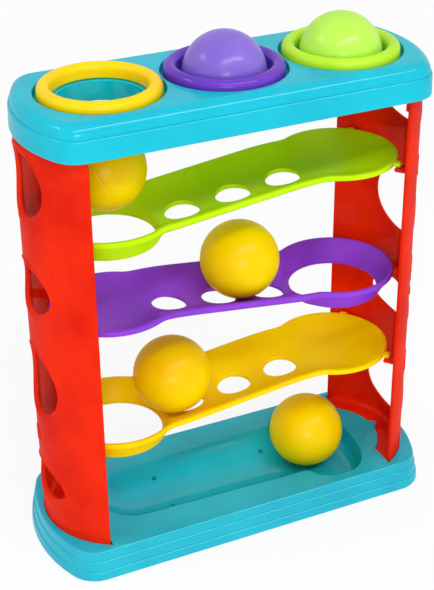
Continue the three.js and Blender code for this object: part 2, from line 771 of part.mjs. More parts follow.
const ballGeometry = new THREE.SphereGeometry(ballRadius, 16, 9).rotateX(Math.PI / 2);
const ballOnRamp = (level, along) => level + rampFloorAt(along)
  + (ballRadius + seatGap) * Math.hypot(1, rampSlope);
const yellow = material(colours.yellow, 0.45);
piece('ball_purple', ballGeometry, material(colours.palePurple, 0.45), 0, 0, seatedBallHeight);
piece('ball_green', ballGeometry, material(colours.paleGreen, 0.45), holePitch, 0, seatedBallHeight);
piece('ball_yellow_falling', ballGeometry, yellow, -holePitch, 0, fallingBallHeight);
piece('ball_yellow_purple_ramp', ballGeometry, yellow, purpleRampBallX, 0,
  ballOnRamp(purpleLevel, -purpleRampBallX));
piece('ball_yellow_yellow_ramp', ballGeometry, yellow, yellowRampBallX, 0,
  ballOnRamp(yellowLevel, yellowRampBallX));
piece('ball_yellow_tray', ballGeometry, yellow, trayBallX, 0,
  trayFloorAt(trayBallX) + ballRadius + seatGap);

const screwGeometry = geometryFrom(screwSolid());
const steel = material(colours.steel, 0.3, 1);
for (const [side, x] of [['left', -screwBossX], ['right', screwBossX]]) {
  for (const [end, y] of [['front', -screwBossY], ['back', screwBossY]]) {
    piece(`base_screw_${side}_${end}`, screwGeometry, steel, x, y);
  }
}

export default tower;
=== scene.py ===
# %% [markdown]
# # A ball pounding tower
# The toy is moulded plastic: a turquoise base and top housing, two red side panels, three ramps in
# yellow, purple and green, three rings and six balls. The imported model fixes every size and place.
# This lesson builds a fine surface round it for each piece, and gives each its finish.

import json
import math

import bmesh
import bpy
import numpy as np
from mathutils import Matrix, Vector


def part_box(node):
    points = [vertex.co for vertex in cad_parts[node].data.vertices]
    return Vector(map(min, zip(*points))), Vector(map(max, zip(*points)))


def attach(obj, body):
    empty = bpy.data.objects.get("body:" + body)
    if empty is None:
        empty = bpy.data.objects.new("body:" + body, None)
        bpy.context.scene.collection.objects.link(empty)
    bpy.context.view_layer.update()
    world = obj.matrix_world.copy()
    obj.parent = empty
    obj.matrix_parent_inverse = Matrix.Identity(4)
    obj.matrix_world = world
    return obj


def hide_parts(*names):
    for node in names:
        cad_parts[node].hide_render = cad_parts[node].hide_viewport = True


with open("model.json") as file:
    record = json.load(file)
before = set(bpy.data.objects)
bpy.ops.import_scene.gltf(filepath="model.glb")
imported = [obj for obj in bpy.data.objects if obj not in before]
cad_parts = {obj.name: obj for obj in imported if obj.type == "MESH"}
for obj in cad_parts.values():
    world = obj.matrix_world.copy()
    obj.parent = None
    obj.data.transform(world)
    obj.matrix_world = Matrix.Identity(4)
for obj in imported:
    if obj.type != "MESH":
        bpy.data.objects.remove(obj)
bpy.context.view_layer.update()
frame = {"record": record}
body_of_node = {
    node: body for body, nodes in frame["record"]["behaviour"]["bodies"].items() for node in nodes
}

# %% [markdown]
# ## Units and measured places
# The toy's sizes are in millimetres, as a toolmaker would write them, and one factor turns them into
# Blender's metres. Only the floor and the lamps are given in metres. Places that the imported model
# already holds are read from it, so that a piece can't drift away from what carries it.

# %% Millimetres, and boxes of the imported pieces
MM = 0.001


def box_of(node):
    """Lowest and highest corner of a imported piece, in millimetres."""
    low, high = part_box(node)
    return np.array(low) / MM, np.array(high) / MM


def centre_of(node):
    """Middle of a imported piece's box, in millimetres."""
    low, high = box_of(node)
    return (low + high) / 2


base_high = box_of("base")[1]
housing_low, housing_high = box_of("top_housing")
ring_low, ring_high = box_of("ring_green")
ball_low, ball_high = box_of("ball_yellow_tray")

hole_pitch = centre_of("ring_green")[0]
ball_radius = (ball_high[2] - ball_low[2]) / 2
deck_height = base_high[2]
print("pounding holes lie", hole_pitch, "mm apart; balls have a radius of", ball_radius, "mm")

# %% [markdown]
# ## The camera
# The picture was taken from the toy's front left, about 29 degrees above the horizon. A long lens
# flattens the tower a little. The small shift moves the frame without turning the camera.

# %% Camera
camera_place = Vector((-309.4, -668.0, 562.1)) * MM
camera_azimuth = math.radians(-24.97)
camera_elevation = math.radians(29.20)
camera_roll = math.radians(-0.35)
focal_pixels = 1392.76
optical_centre = (228.37, 287.94)
picture_size = (434, 590)
sensor_millimetres = 36
farthest_metres = 20

lens = bpy.data.cameras.new("camera")
camera = bpy.data.objects.new("camera", lens)
bpy.context.scene.collection.objects.link(camera)
bpy.context.scene.camera = camera
back = Vector((
    math.sin(camera_azimuth) * math.cos(camera_elevation),
    -math.cos(camera_azimuth) * math.cos(camera_elevation),
    math.sin(camera_elevation),
))
turn = back.to_track_quat("Z", "Y").to_matrix().to_4x4() @ Matrix.Rotation(camera_roll, 4, "Z")
camera.matrix_world = Matrix.Translation(camera_place) @ turn
long_side = max(picture_size)
lens.sensor_width = sensor_millimetres
lens.lens = focal_pixels / long_side * sensor_millimetres
lens.shift_x = (picture_size[0] / 2 - optical_centre[0]) / long_side
lens.shift_y = (optical_centre[1] - picture_size[1] / 2) / long_side
lens.clip_end = farthest_metres
print("lens", round(lens.lens, 2), "mm")

# %% [markdown]
# ## From numbers to meshes
# Every new piece is a grid of points: a formula gives one point for each pair of parameters. Whole
# arrays are worked out at once, and grids that share an edge are welded into one closed skin.

# %% Grids, welding and closed skins
weld_distance = 0.002
crease_degrees = 38


def grid_faces(rows, columns, closed):
    """Quads between neighbouring rows of a grid; a closed grid joins its last column to its first."""
    start = (np.arange(rows - 1) * columns)[:, None]
    here = np.arange(columns if closed else columns - 1)[None, :]
    after = (here + 1) % columns
    corners = [start + here, start + after, start + columns + after, start + columns + here]
    return np.stack(corners, axis=-1).reshape(-1, 4)


def skin(name, grids):
    """One object from (grid, closed) pairs: points go in as they are, shared points are welded."""
    points, faces, total = [], [], 0
    for grid, closed in grids:
        rows, columns, _ = grid.shape
        points.append(grid.reshape(-1, 3))
        faces.append(grid_faces(rows, columns, closed) + total)
        total += rows * columns
    points = np.concatenate(points)
    faces = np.concatenate(faces)
    mesh = bpy.data.meshes.new(name)
    mesh.vertices.add(len(points))
    mesh.vertices.foreach_set("co", (points * MM).astype(np.float32).ravel())
    mesh.loops.add(faces.size)
    mesh.loops.foreach_set("vertex_index", faces.astype(np.int32).ravel())
    mesh.polygons.add(len(faces))
    mesh.polygons.foreach_set("loop_start", np.arange(0, faces.size, 4, dtype=np.int32))
    mesh.update(calc_edges=True)
    piece = bpy.data.objects.new(name, mesh)
    bpy.context.scene.collection.objects.link(piece)
    weld(piece)
    return piece


def weld(piece):
    """Merges shared points, turns all faces outwards and counts edges that no second face closes."""
    work = bmesh.new()
    work.from_mesh(piece.data)
    bmesh.ops.remove_doubles(work, verts=work.verts, dist=weld_distance * MM)
    bmesh.ops.recalc_face_normals(work, faces=work.faces)
    loose = sum(1 for edge in work.edges if not edge.is_manifold)
    work.to_mesh(piece.data)
    work.free()
    print(piece.name, len(piece.data.polygons), "faces,", loose, "open edges")


def soften(piece):
    """Smooth shading, with creases kept where two faces meet at more than crease_degrees."""
    piece.data.shade_smooth()
    piece.data.set_sharp_from_angle(angle=math.radians(crease_degrees))


def level_shading(piece):
    """Lets large flat faces keep their own direction, so that cuts beside them don't shade them."""
    weigh = piece.modifiers.new("level shading", "WEIGHTED_NORMAL")
    weigh.keep_sharp = True


# %% [markdown]
# A profile is a short list of corners. Each corner is rounded by a quadratic curve that leaves one
# side and meets the other at the same distance. Rounded edges matter: they catch the thin bright
# lines that make plastic look moulded. An edge that has to catch one lamp gets a narrow bevel that
# faces halfway between that lamp and the camera.

# %% Rounded profiles and bevels
bevel_blend = 0.28


def rounded(corners, radii, steps=4):
    """Each corner of an open profile becomes (1-t)^2 before + 2t(1-t) corner + t^2 after, where
    before and after lie on its two sides at the distance given in radii."""
    corners = np.asarray(corners, float)
    share = np.linspace(0, 1, steps + 1)[:, None]
    pieces = []
    for index, radius in enumerate(radii):
        corner = corners[index]
        if radius == 0:
            pieces.append(corner[None])
            continue
        toward_before = corners[index - 1] - corner
        toward_after = corners[index + 1] - corner
        before = corner + toward_before / np.linalg.norm(toward_before) * radius
        after = corner + toward_after / np.linalg.norm(toward_after) * radius
        curve = (1 - share) ** 2 * before + 2 * share * (1 - share) * corner + share ** 2 * after
        pieces.append(curve)
    return np.concatenate(pieces)


def soft_bevel(corner, bevel_width, facing, after):
    """A wall's upper edge as (height, inset) pairs: up the wall, over a narrow bevel whose surface
    faces up at the angle facing, and in to after. Small curves join the three."""
    height, inset = corner
    foot = (height - 2 * bevel_width, inset)
    low_end = (height - bevel_width * math.cos(facing), inset)
    high_end = (height, inset + bevel_width * math.sin(facing))
    return rounded([foot, low_end, high_end, after], [0, bevel_blend, bevel_blend, 0], steps=3)


# %% [markdown]
# Round forms start from unit vectors round a circle. A turned grid carries a profile round them, and
# a small block with rounded edges is a sphere whose eight parts are pulled away from each other.

# %% Circles, turned grids and small blocks
turned_columns = 96
pebble_rows = 18
pebble_columns = 32
rounding_error = 1e-9


def circle(count):
    """Unit vectors evenly round a circle."""
    angle = 2 * np.pi * np.arange(count) / count
    return np.stack([np.cos(angle), np.sin(angle)], axis=1)


def arc_rays(start, stop, count, endpoint=True):
    """Unit vectors evenly from one angle to another."""
    angle = np.linspace(start, stop, count, endpoint=endpoint)
    return np.stack([np.cos(angle), np.sin(angle)], axis=1)


def lathe(profile, centre, count=turned_columns):
    """A profile of (radius, height) points turned about an upright axis through centre."""
    ray = circle(count)
    flat = profile[:, 0, None, None] * ray + np.asarray(centre, float)
    height = np.broadcast_to(profile[:, 1, None, None], (len(profile), count, 1))
    return np.concatenate([flat, height], axis=2)


def pebble(half_size, radius, centre, angle, about):
    """A block with rounded edges: each sphere direction d gives sign(d) (half - r) + r d.
    The block is then turned by angle and moved so that its upright axis lies at about."""
    latitude = np.pi * (np.arange(pebble_rows) / (pebble_rows - 1) - 0.5)
    longitude = 2 * np.pi * (np.arange(pebble_columns) + 0.5) / pebble_columns
    direction = np.stack([
        np.cos(latitude)[:, None] * np.cos(longitude),
        np.cos(latitude)[:, None] * np.sin(longitude),
        np.repeat(np.sin(latitude)[:, None], pebble_columns, axis=1),
    ], axis=-1)
    sign = np.sign(direction)
    sign[np.abs(direction) < rounding_error] = 0
    core = np.asarray(half_size, float) - radius
    points = sign * core + radius * direction + np.asarray(centre, float)
    spin = np.array([[math.cos(angle), math.sin(angle)], [-math.sin(angle), math.cos(angle)]])
    points[..., :2] = points[..., :2] @ spin + np.asarray(about, float)
    return points


# %% [markdown]
# Ramps and tray are heights over a plan. Where two such surfaces cross, the real moulding has a
# fillet, so the lower of the two is taken with a small blend.

# %% Heights over a plan
def raised(flat, height):
    """Plan points with a height for each, or one height for all."""
    height = np.broadcast_to(np.asarray(height, float), flat.shape[:-1])
    return np.concatenate([flat, height[..., None]], axis=-1)


def smooth_min(a, b, blend):
    """The lower of two heights, with a fillet of about the blend's size where they cross."""
    share = np.clip(0.5 + 0.5 * (b - a) / blend, 0, 1)
    return b + (a - b) * share - blend * share * (1 - share)


def half_turn(grid):
    """The same grid turned end for end about the upright axis."""
    return grid * np.array([-1, -1, 1])


# %% [markdown]
# A plate with a hole is the shape that this toy repeats most: windows in the ramps and openings in
# the panels. Rings of points start at the hole's edge and spread out to the plate's own outline,
# column by column, so the mesh flows round the hole and shades without a crease.

# %% Rings from a hole to a plate's outline
def spread_rings(centre, halves, boundary, offsets, shares, guide=None):
    """Rings from an oval out to a closed boundary. The first are the oval grown by each offset;
    the rest divide the way from the last of them to the boundary by shares. The columns leave the
    oval towards the guide's points, or the boundary's own."""
    centre = np.asarray(centre, float)
    halves = np.asarray(halves, float)
    toward = ((boundary if guide is None else guide) - centre) / halves
    angle = np.arctan2(toward[:, 1], toward[:, 0])
    ray = np.stack([np.cos(angle), np.sin(angle)], axis=1)
    ovals = centre + (halves + np.asarray(offsets)[:, None, None]) * ray
    outward = ovals[-1] + (boundary - ovals[-1]) * np.asarray(shares)[1:, None, None]
    return np.concatenate([ovals, outward])


# %% [markdown]
# ## Finishes
# All parts are injection-moulded ABS, apart from the balls, which are blow-moulded polyethylene, and
# the zinc-plated screws. ABS from a polished mould is glossy, with a faint orange-peel and a colour
# that drifts a little where the wall is thick. Polyethylene is softer to the eye: a satin surface,
# and light that enters it a little way.

# %% Colours and a node helper
def linear(code):
    """An sRGB hex colour as linear red, green, blue and an alpha of 1, by the sRGB standard's
    formula and numbers."""
    value = np.array([int(code[i:i + 2], 16) for i in (1, 3, 5)]) / 255
    straight = np.where(value <= 0.04045, value / 12.92, ((value + 0.055) / 1.055) ** 2.4)
    return (*straight, 1.0)


def add_node(tree, kind, values=None, links=None, **settings):
    """Adds a node, sets its options and socket values, and links sources to its sockets."""
    made = tree.nodes.new(kind)
    for name, value in settings.items():
        setattr(made, name, value)
    for socket, value in (values or {}).items():
        made.inputs[socket].default_value = value
    for socket, source in (links or {}).items():
        tree.links.new(source, made.inputs[socket])
    return made


def empty_material(name):
    """A material without nodes, and its node tree."""
    material = bpy.data.materials.new(name)
    material.use_nodes = True
    material.node_tree.nodes.clear()
    return material, material.node_tree


def per_metre(millimetres):
    """Noise scale for features of that size: Object coordinates are in metres."""
    return 1 / (millimetres * MM)


# %% [markdown]
# ### Moulded plastic
# One recipe serves every plastic piece. Cloudy noise some centimetres wide moves the colour between
# two close tones, a second noise makes the gloss uneven, as handling does, and a fine bump gives the
# orange-peel. The peel on the real toy is finer than a pixel, so it is drawn about 2 mm wide. The
# gloss is a thin coat at part of its weight, and the plastic under it reflects nothing itself: with
# both at full weight a white studio shows at every flat angle and turns the strong colours pale.

# %% Plastic recipe
cloud_size = 38
cloud_roughness = 0.55
cloud_range = (0.38, 0.66)
handling_size = 16
handling_range = (0.3, 0.7)
gloss_spread = 0.1
peel_size = 2.2
peel_height = 0.1
peel_strength = 0.05
plastic_ior = 1.5
abs_depth = (3, 2, 1)


def moulded_plastic(name, tone, deep_tone, roughness, gloss_share, glow=0.0, depth=abs_depth):
    """Plastic whose colour drifts from tone to deep_tone, with uneven gloss and orange-peel. The
    share of light called glow enters it, and reaches the depths in millimetres in red, green and
    blue."""
    material, tree = empty_material(name)
    place = add_node(tree, "ShaderNodeTexCoord").outputs["Object"]
    cloud = add_node(
        tree, "ShaderNodeTexNoise",
        {"Scale": per_metre(cloud_size), "Detail": 3.0, "Roughness": cloud_roughness},
        {"Vector": place})
    drift = add_node(
        tree, "ShaderNodeMapRange",
        {"From Min": cloud_range[0], "From Max": cloud_range[1]}, {"Value": cloud.outputs["Fac"]})
    colour = add_node(
        tree, "ShaderNodeMix", {"A": linear(tone), "B": linear(deep_tone)},
        {"Factor": drift.outputs["Result"]}, data_type="RGBA")
    handling = add_node(
        tree, "ShaderNodeTexNoise",
        {"Scale": per_metre(handling_size), "Detail": 4.0}, {"Vector": place})
    gloss = add_node(
        tree, "ShaderNodeMapRange",
        {
            "From Min": handling_range[0],
            "From Max": handling_range[1],
            "To Min": roughness,
            "To Max": roughness + gloss_spread,
        },
        {"Value": handling.outputs["Fac"]})
    grain = add_node(
        tree, "ShaderNodeTexNoise",
        {"Scale": per_metre(peel_size), "Detail": 2.0}, {"Vector": place})
    bump = add_node(
        tree, "ShaderNodeBump", {"Strength": peel_strength, "Distance": peel_height * MM},
        {"Height": grain.outputs["Fac"]})
    shader = add_node(
        tree, "ShaderNodeBsdfPrincipled",
        {
            "IOR": plastic_ior,
            "Specular IOR Level": 0.0,
            "Subsurface Weight": glow,
            "Subsurface Radius": tuple(reach * MM for reach in depth),
            "Subsurface Scale": 1.0,
            "Coat Weight": gloss_share,
            "Coat Roughness": roughness,
        },
        {
            "Base Color": colour.outputs["Result"],
            "Roughness": gloss.outputs["Result"],
            "Normal": bump.outputs["Normal"],
            "Coat Normal": bump.outputs["Normal"],
        })
    add_node(tree, "ShaderNodeOutputMaterial", links={"Surface": shader.outputs["BSDF"]})
    return material


# %% [markdown]
# Each colour of the toy is one call of the recipe: a tone and its deeper tone, the roughness, and
# the coat's weight. The balls add the share of light that enters them and the depths it reaches,
# which are largest in red, so that a yellow ball glows warm at its edge. The ramps are more satin
# than the rest, and they and the red panels have the thinnest coats, because the photograph shows
# the fewest reflections there.

# %% The toy's plastics
turquoise_top = moulded_plastic("turquoise_abs_housing", "#00BED4", "#00B4CC", 0.14, 0.5)
turquoise_base = moulded_plastic("turquoise_abs_base", "#16BAD0", "#0EAEC6", 0.16, 0.6)
red_panel = moulded_plastic("red_abs_panel", "#EE2A08", "#DA1C03", 0.14, 0.14)
yellow_ramp = moulded_plastic("yellow_abs_ramp", "#FFDC00", "#FFD000", 0.26, 0.14)
purple_ramp = moulded_plastic("purple_abs_ramp", "#9242DC", "#863AD0", 0.24, 0.22)
green_ramp = moulded_plastic("green_abs_ramp", "#CAF610", "#BCEC06", 0.26, 0.14)
yellow_ring = moulded_plastic("yellow_abs_ring", "#FFDA00", "#FFCE00", 0.18, 0.4)
purple_ring = moulded_plastic("purple_abs_ring", "#6E3CC2", "#6232B4", 0.18, 0.5)
green_ring = moulded_plastic("green_abs_ring", "#BEEE32", "#B2E424", 0.18, 0.4)

polyethylene_depth = (16, 9, 2.5)
yellow_ball = moulded_plastic(
    "yellow_polyethylene_ball", "#FFD400", "#FFCA00", 0.24, 0.25, 0.85, polyethylene_depth)
purple_ball = moulded_plastic(
    "purple_polyethylene_ball", "#8A6ED4", "#8062CC", 0.22, 0.6, 0.3, polyethylene_depth)
green_ball = moulded_plastic(
    "green_polyethylene_ball", "#BCF054", "#B0E848", 0.22, 0.6, 0.3, polyethylene_depth)
print("plastics:", [material.name for material in bpy.data.materials])

# %% [markdown]
# ### Zinc-plated steel
# The screws are pressed from steel wire and zinc-plated, which leaves a bright, slightly cloudy grey.
# The zinc's crystals are too fine to see, so they are drawn 0.8 mm wide.

# %% Steel
crystal_size = 0.8
zinc_roughness = (0.24, 0.38)


def zinc_plate(name):
    """Bright grey metal whose tone and gloss change a little from crystal to crystal."""
    material, tree = empty_material(name)
    place = add_node(tree, "ShaderNodeTexCoord").outputs["Object"]
    crystal = add_node(
        tree, "ShaderNodeTexVoronoi", {"Scale": per_metre(crystal_size)}, {"Vector": place})
    tone = add_node(
        tree, "ShaderNodeMix", {"A": linear("#C4C8CC"), "B": linear("#A9AEB4")},
        {"Factor": crystal.outputs["Distance"]}, data_type="RGBA")
    gloss = add_node(
        tree, "ShaderNodeMapRange", {"To Min": zinc_roughness[0], "To Max": zinc_roughness[1]},
        {"Value": crystal.outputs["Distance"]})
    shader = add_node(
        tree, "ShaderNodeBsdfPrincipled", {"Metallic": 1.0},
        {"Base Color": tone.outputs["Result"], "Roughness": gloss.outputs["Result"]})
    add_node(tree, "ShaderNodeOutputMaterial", links={"Surface": shader.outputs["BSDF"]})
    return material


zinc = zinc_plate("zinc_plated_steel")
print("metal:", zinc.name)

# %% [markdown]
# ### Dressing a piece
# A fine piece takes its finish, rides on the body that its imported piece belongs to, and stands in
# for that piece in the picture.

# %% Dress a piece
def dress(piece, node, material):
    """Gives a finished piece its material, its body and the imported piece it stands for."""
    soften(piece)
    piece.data.materials.clear()
    piece.data.materials.append(material)
    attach(piece, body_of_node[node])
    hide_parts(node)


# %% [markdown]
# ## Ramps
# Each ramp is one moulding, used three times. A ball drops on the round landing pad at the high end,
# rolls down a trough with three windows and falls through the round collar at the low end. The
# outline is made of arcs, hollow fillets at the two waists and straight sides.

# %% Ramp sizes and outline
ramp_slope = 0.12
ramp_floor_rise = 8.95
ramp_wall = 2.4
collar_radius = 37.6
collar_height = 13.5
collar_lip = 0.8
drop_radius = 27.5
drop_foot_radius = 30
pad_radius = 36.5
pad_rim_height = 23.7
trough_half_width = 30
trough_depth = 10.2
trough_power = 2.2
underside_power = 3.0
waist_fillet = 14
rim_width = 2.3
rim_height = 3.1
rim_skirt = 1.4
window_radius = 10.5
window_pitch = 32.5
window_offset = 5
window_edge = 0.5
rim_round = 0.9
floor_blend = 2.0
rim_blend = 1.6
skirt_blend = 0.6
outline_step = 1.1
least_width = 1e-6


def arc(centre, radius, start, stop, hollow=False):
    """Points of an arc, without its last, and the outline's outward direction at each."""
    count = max(2, int(abs(stop - start) * radius / outline_step))
    ray = arc_rays(start, stop, count, endpoint=False)
    return np.asarray(centre, float) + radius * ray, -ray if hollow else ray


def ramp_outline():
    """The ramp's outline from the pad's tip round to it again, anticlockwise, with outward rays.
    Half of it is made of arcs and a straight side, and the other half is its mirror image."""
    reach = trough_half_width + waist_fillet
    pad_x = hole_pitch - math.sqrt((pad_radius + waist_fillet) ** 2 - reach ** 2)
    collar_x = math.sqrt((collar_radius + waist_fillet) ** 2 - reach ** 2) - hole_pitch
    pad_turn = math.atan2(reach, pad_x - hole_pitch)
    collar_turn = math.atan2(reach, collar_x + hole_pitch)
    straight_count = int((pad_x - collar_x) / outline_step)
    straight = np.linspace(
        (pad_x, trough_half_width), (collar_x, trough_half_width), straight_count, endpoint=False)
    parts = [
        arc((hole_pitch, 0), pad_radius, 0, pad_turn),
        arc((pad_x, reach), waist_fillet, pad_turn - np.pi, -np.pi / 2, hollow=True),
        (straight, np.tile([0.0, 1.0], (straight_count, 1))),
        arc((collar_x, reach), waist_fillet, -np.pi / 2, collar_turn - np.pi, hollow=True),
        arc((-hole_pitch, 0), collar_radius, collar_turn, np.pi),
        (np.array([[-hole_pitch - collar_radius, 0.0]]), np.array([[-1.0, 0.0]])),
    ]
    points = np.concatenate([part[0] for part in parts])
    rays = np.concatenate([part[1] for part in parts])
    mirror = np.array([1, -1])
    points = np.concatenate([points, points[-2:0:-1] * mirror])
    rays = np.concatenate([rays, rays[-2:0:-1] * mirror])
    return points, rays


outline, outline_rays = ramp_outline()
outline_half = len(outline) // 2
print("the ramp's outline has", len(outline), "points")


# %% [markdown]
# The running surface is a height over the plan. Across the trough it rises from the floor to the rim
# as a power of the share of the way out, and round the drop hole it meets a cone. The lower of the
# two wins, with a small fillet where they cross.

# %% Heights of a ramp's two faces
def rim_height_at(x):
    """The rim follows the floor, but stays level round the collar and round the pad."""
    along = ramp_floor_rise + ramp_slope * x + trough_depth
    along = -smooth_min(-along, np.full_like(along, -collar_height), rim_blend)
    return smooth_min(along, np.full_like(along, pad_rim_height), rim_blend)


def share_across(x, y, inset):
    """How far out a point lies, from 0 on the spine to 1 on the outline drawn in by inset."""
    edge = (outline - outline_rays * inset)[:outline_half + 1]
    half_width = np.interp(x, edge[::-1, 0], edge[::-1, 1])
    middle = np.abs(y) / np.maximum(half_width, least_width)
    pad = np.hypot(x - hole_pitch, y) / (pad_radius - inset)
    collar = np.hypot(x + hole_pitch, y) / (collar_radius - inset)
    share = np.where(x > hole_pitch, pad, np.where(x < -hole_pitch, collar, middle))
    return np.clip(share, 0, 1)


def ramp_top(x, y):
    """Height of the running surface: the trough, cut by the funnel of the drop collar."""
    floor = ramp_floor_rise + ramp_slope * x
    trough = floor + (rim_height_at(x) - floor) * share_across(x, y, rim_width) ** trough_power
    out = np.hypot(x + hole_pitch, y) - drop_radius
    funnel = collar_height * out / (collar_radius - rim_width - drop_radius)
    return smooth_min(trough, funnel, floor_blend)


def ramp_under(x, y):
    """Height of the underside: the trough's, and the collar's tapered skirt below it."""
    floor = ramp_floor_rise + ramp_slope * x - ramp_wall
    edge = rim_height_at(x) - rim_height
    trough = floor + (edge - floor) * share_across(x, y, rim_skirt) ** underside_power
    out = np.maximum(np.hypot(x + hole_pitch, y) - drop_foot_radius, 0)
    taper = (collar_height - rim_height + collar_lip) / (collar_radius - rim_skirt - drop_foot_radius)
    return smooth_min(trough, out * taper - collar_lip, skirt_blend)


print("rim heights at the collar and the pad", rim_height_at(np.array([-hole_pitch, hole_pitch])))


# %% [markdown]
# The plan is divided into a plate for the pad, one for each window and one for the collar. Cuts
# straight across the trough divide them, and both neighbours use the same points there. The rings
# of each plate crowd towards its outline, where the surface bends most.

# %% Plates of a ramp
hole_shares = np.array([0, 0.08, 0.18, 0.3, 0.44, 0.58, 0.7, 0.8, 0.87, 0.92, 0.96, 0.985, 1])
pad_shares = np.concatenate([np.linspace(0, 0.8, 16), hole_shares[8:]])
cut_count = 46
window_centres = [window_offset + k * window_pitch for k in (1, 0, -1)]
pad_seed = 3.0
plate_holes = [(hole_pitch, None)] + [(x, window_radius) for x in window_centres]
plate_holes += [(-hole_pitch, drop_radius)]
cut_places = [
    window_centres[0] + window_pitch / 2,
    (window_centres[0] + window_centres[1]) / 2,
    (window_centres[1] + window_centres[2]) / 2,
    (window_centres[2] - window_radius - hole_pitch + drop_radius) / 2,
]
hole_edge_rings = (window_edge, 2 * window_edge, 4 * window_edge)
band_rows = 5

plate_ends = [0]
plate_ends += [int(np.argmin(np.abs(outline[:outline_half + 1, 0] - x))) for x in cut_places]
plate_ends += [outline_half]
print("the ramp's plates meet at x =", cut_places)


def plate_boundary(edge, right, left):
    """The closed loop round one plate: outline, cut, mirrored outline and cut."""
    count = len(edge)
    share = np.linspace(0, 1, cut_count)[1:-1, None]
    parts = [edge[right:left + 1]]
    if left < outline_half:
        parts.append(edge[left] * (1 - share) + edge[count - left] * share)
        parts.append(edge[count - left:count - right + (1 if right else 0)])
    else:
        parts.append(edge[left + 1:count - right + 1])
    if right > 0:
        parts.append((edge[right] * (1 - share) + edge[count - right] * share)[::-1])
    return np.concatenate(parts)


def ramp_plates(inset, height_of):
    """Grids of one face of the ramp, and the centre, radius and edge points of each of its holes."""
    edge = outline - outline_rays * inset
    grids = []
    rims = []
    for (x, radius), right, left in zip(plate_holes, plate_ends[:-1], plate_ends[1:]):
        boundary = plate_boundary(edge, right, left)
        guide = plate_boundary(outline, right, left)
        if radius is None:
            half, offsets, shares = pad_seed, (-pad_seed, 0), pad_shares
        else:
            half, offsets, shares = radius, hole_edge_rings, hole_shares
        flat = spread_rings((x, 0), (half, half), boundary, offsets, shares, guide)
        grid = raised(flat, height_of(flat[..., 0], flat[..., 1]))
        grids.append((grid, True))
        if radius is not None:
            rims.append((np.array([x, 0.0]), radius, grid[0]))
    return grids, rims


def edge_band(centre, radius, upper, lower):
    """The wall of a hole between its two faces, with quarter-round edges above and below."""
    toward = upper[:, :2] - centre
    ray = toward / np.linalg.norm(toward, axis=1, keepdims=True)
    angle = np.linspace(0, np.pi / 2, band_rows)[:, None, None]
    wall = centre + (radius + window_edge * (1 - np.sin(angle))) * ray
    depth = window_edge * (1 - np.cos(angle[..., 0]))
    top = raised(wall, upper[:, 2] - depth)
    bottom = raised(wall, lower[:, 2] + depth)
    top[0], bottom[0] = upper, lower
    return np.concatenate([top, bottom[::-1]])


# %% [markdown]
# A rim runs round the whole outline: a flat crown, a rounded edge and a short drop, with the
# underside drawn in below it. That lip is the bright band along the front of each ramp.

# %% Rim of a ramp
crown_edge = 0.25
crown_dip = 0.03
crown_flat = 0.6


def ramp_rim():
    """Rows from the running surface's edge over the crown and down to the underside's edge."""
    profile = rounded(
        [(rim_width, 0), (0, 0), (0, -rim_height), (rim_skirt, -rim_height)],
        [0, rim_round, rim_round / 2, 0])
    crown = [(rim_width - crown_edge, -crown_dip), (rim_width - crown_flat, 0)]
    profile = np.insert(profile, 1, crown, axis=0)
    flat = outline - outline_rays * profile[:, 0, None, None]
    height = rim_height_at(outline[:, 0]) + profile[:, 1, None]
    height[0] = ramp_top(flat[0, :, 0], flat[0, :, 1])
    height[-1] = ramp_under(flat[-1, :, 0], flat[-1, :, 1])
    return raised(flat, height)


# %% [markdown]
# A ramp hangs in the panels by small feet: two ears on the pad's rim and a tab on the collar. Each
# has a peg that drops into a bracket. They are closed forms that reach into the rim or the collar.

# %% Ears and pegs of a ramp
ear_angle = math.radians(48)
ear_size = (3.6, 5.0, 2.8)
ear_drop = 0.5
ear_round = 1.3
ear_root = 1.8
tab_height = 4.2
peg_radius = 1.4
peg_length = 3.8
peg_root = 1
peg_inset = 1.9
peg_round = 0.4
peg_columns = 24


def ear(radius, bottom, root, about, angle):
    """A small foot on the rim that rests on a panel's bracket, with a peg down through it."""
    long_half = (ear_size[0] + root) / 2
    middle = radius + (ear_size[0] - root) / 2
    block = pebble(
        (long_half, ear_size[1] / 2, ear_size[2] / 2), ear_round,
        (middle, 0, bottom + ear_size[2] / 2), angle, about)
    peg_x = about[0] + (radius + peg_inset) * math.cos(angle)
    peg_y = about[1] + (radius + peg_inset) * math.sin(angle)
    peg_tip, peg_top = bottom - peg_length, bottom + peg_root
    section = rounded(
        [(0, peg_tip), (peg_radius, peg_tip), (peg_radius, peg_top), (0, peg_top)],
        [0, peg_round, 0, 0], steps=3)
    peg = lathe(section, (peg_x, peg_y), peg_columns)
    return [(block, True), (peg, True)]


# %% [markdown]
# The three ramps are one moulding in three colours. The plates, the rim and the bands through the
# holes' edges are welded into one skin, which also holds the feet and is put at its ramp's level.

# %% Three ramps
def ramp_grids():
    """Every grid of one ramp, in the ramp's own place."""
    top, top_rims = ramp_plates(rim_width, ramp_top)
    under, under_rims = ramp_plates(rim_skirt, ramp_under)
    grids = top + under + [(ramp_rim(), True)]
    for (centre, radius, upper), (_, _, lower) in zip(top_rims, under_rims):
        grids.append((edge_band(centre, radius, upper, lower), True))
    for side in (-1, 1):
        grids += ear(
            pad_radius, pad_rim_height - ear_drop - ear_size[2], ear_root,
            (hole_pitch, 0), side * ear_angle)
    skirt_gap = (collar_radius - drop_foot_radius) * (1 - tab_height / collar_height)
    grids += ear(collar_radius, tab_height, skirt_gap + ear_root, (-hole_pitch, 0), np.pi)
    return grids


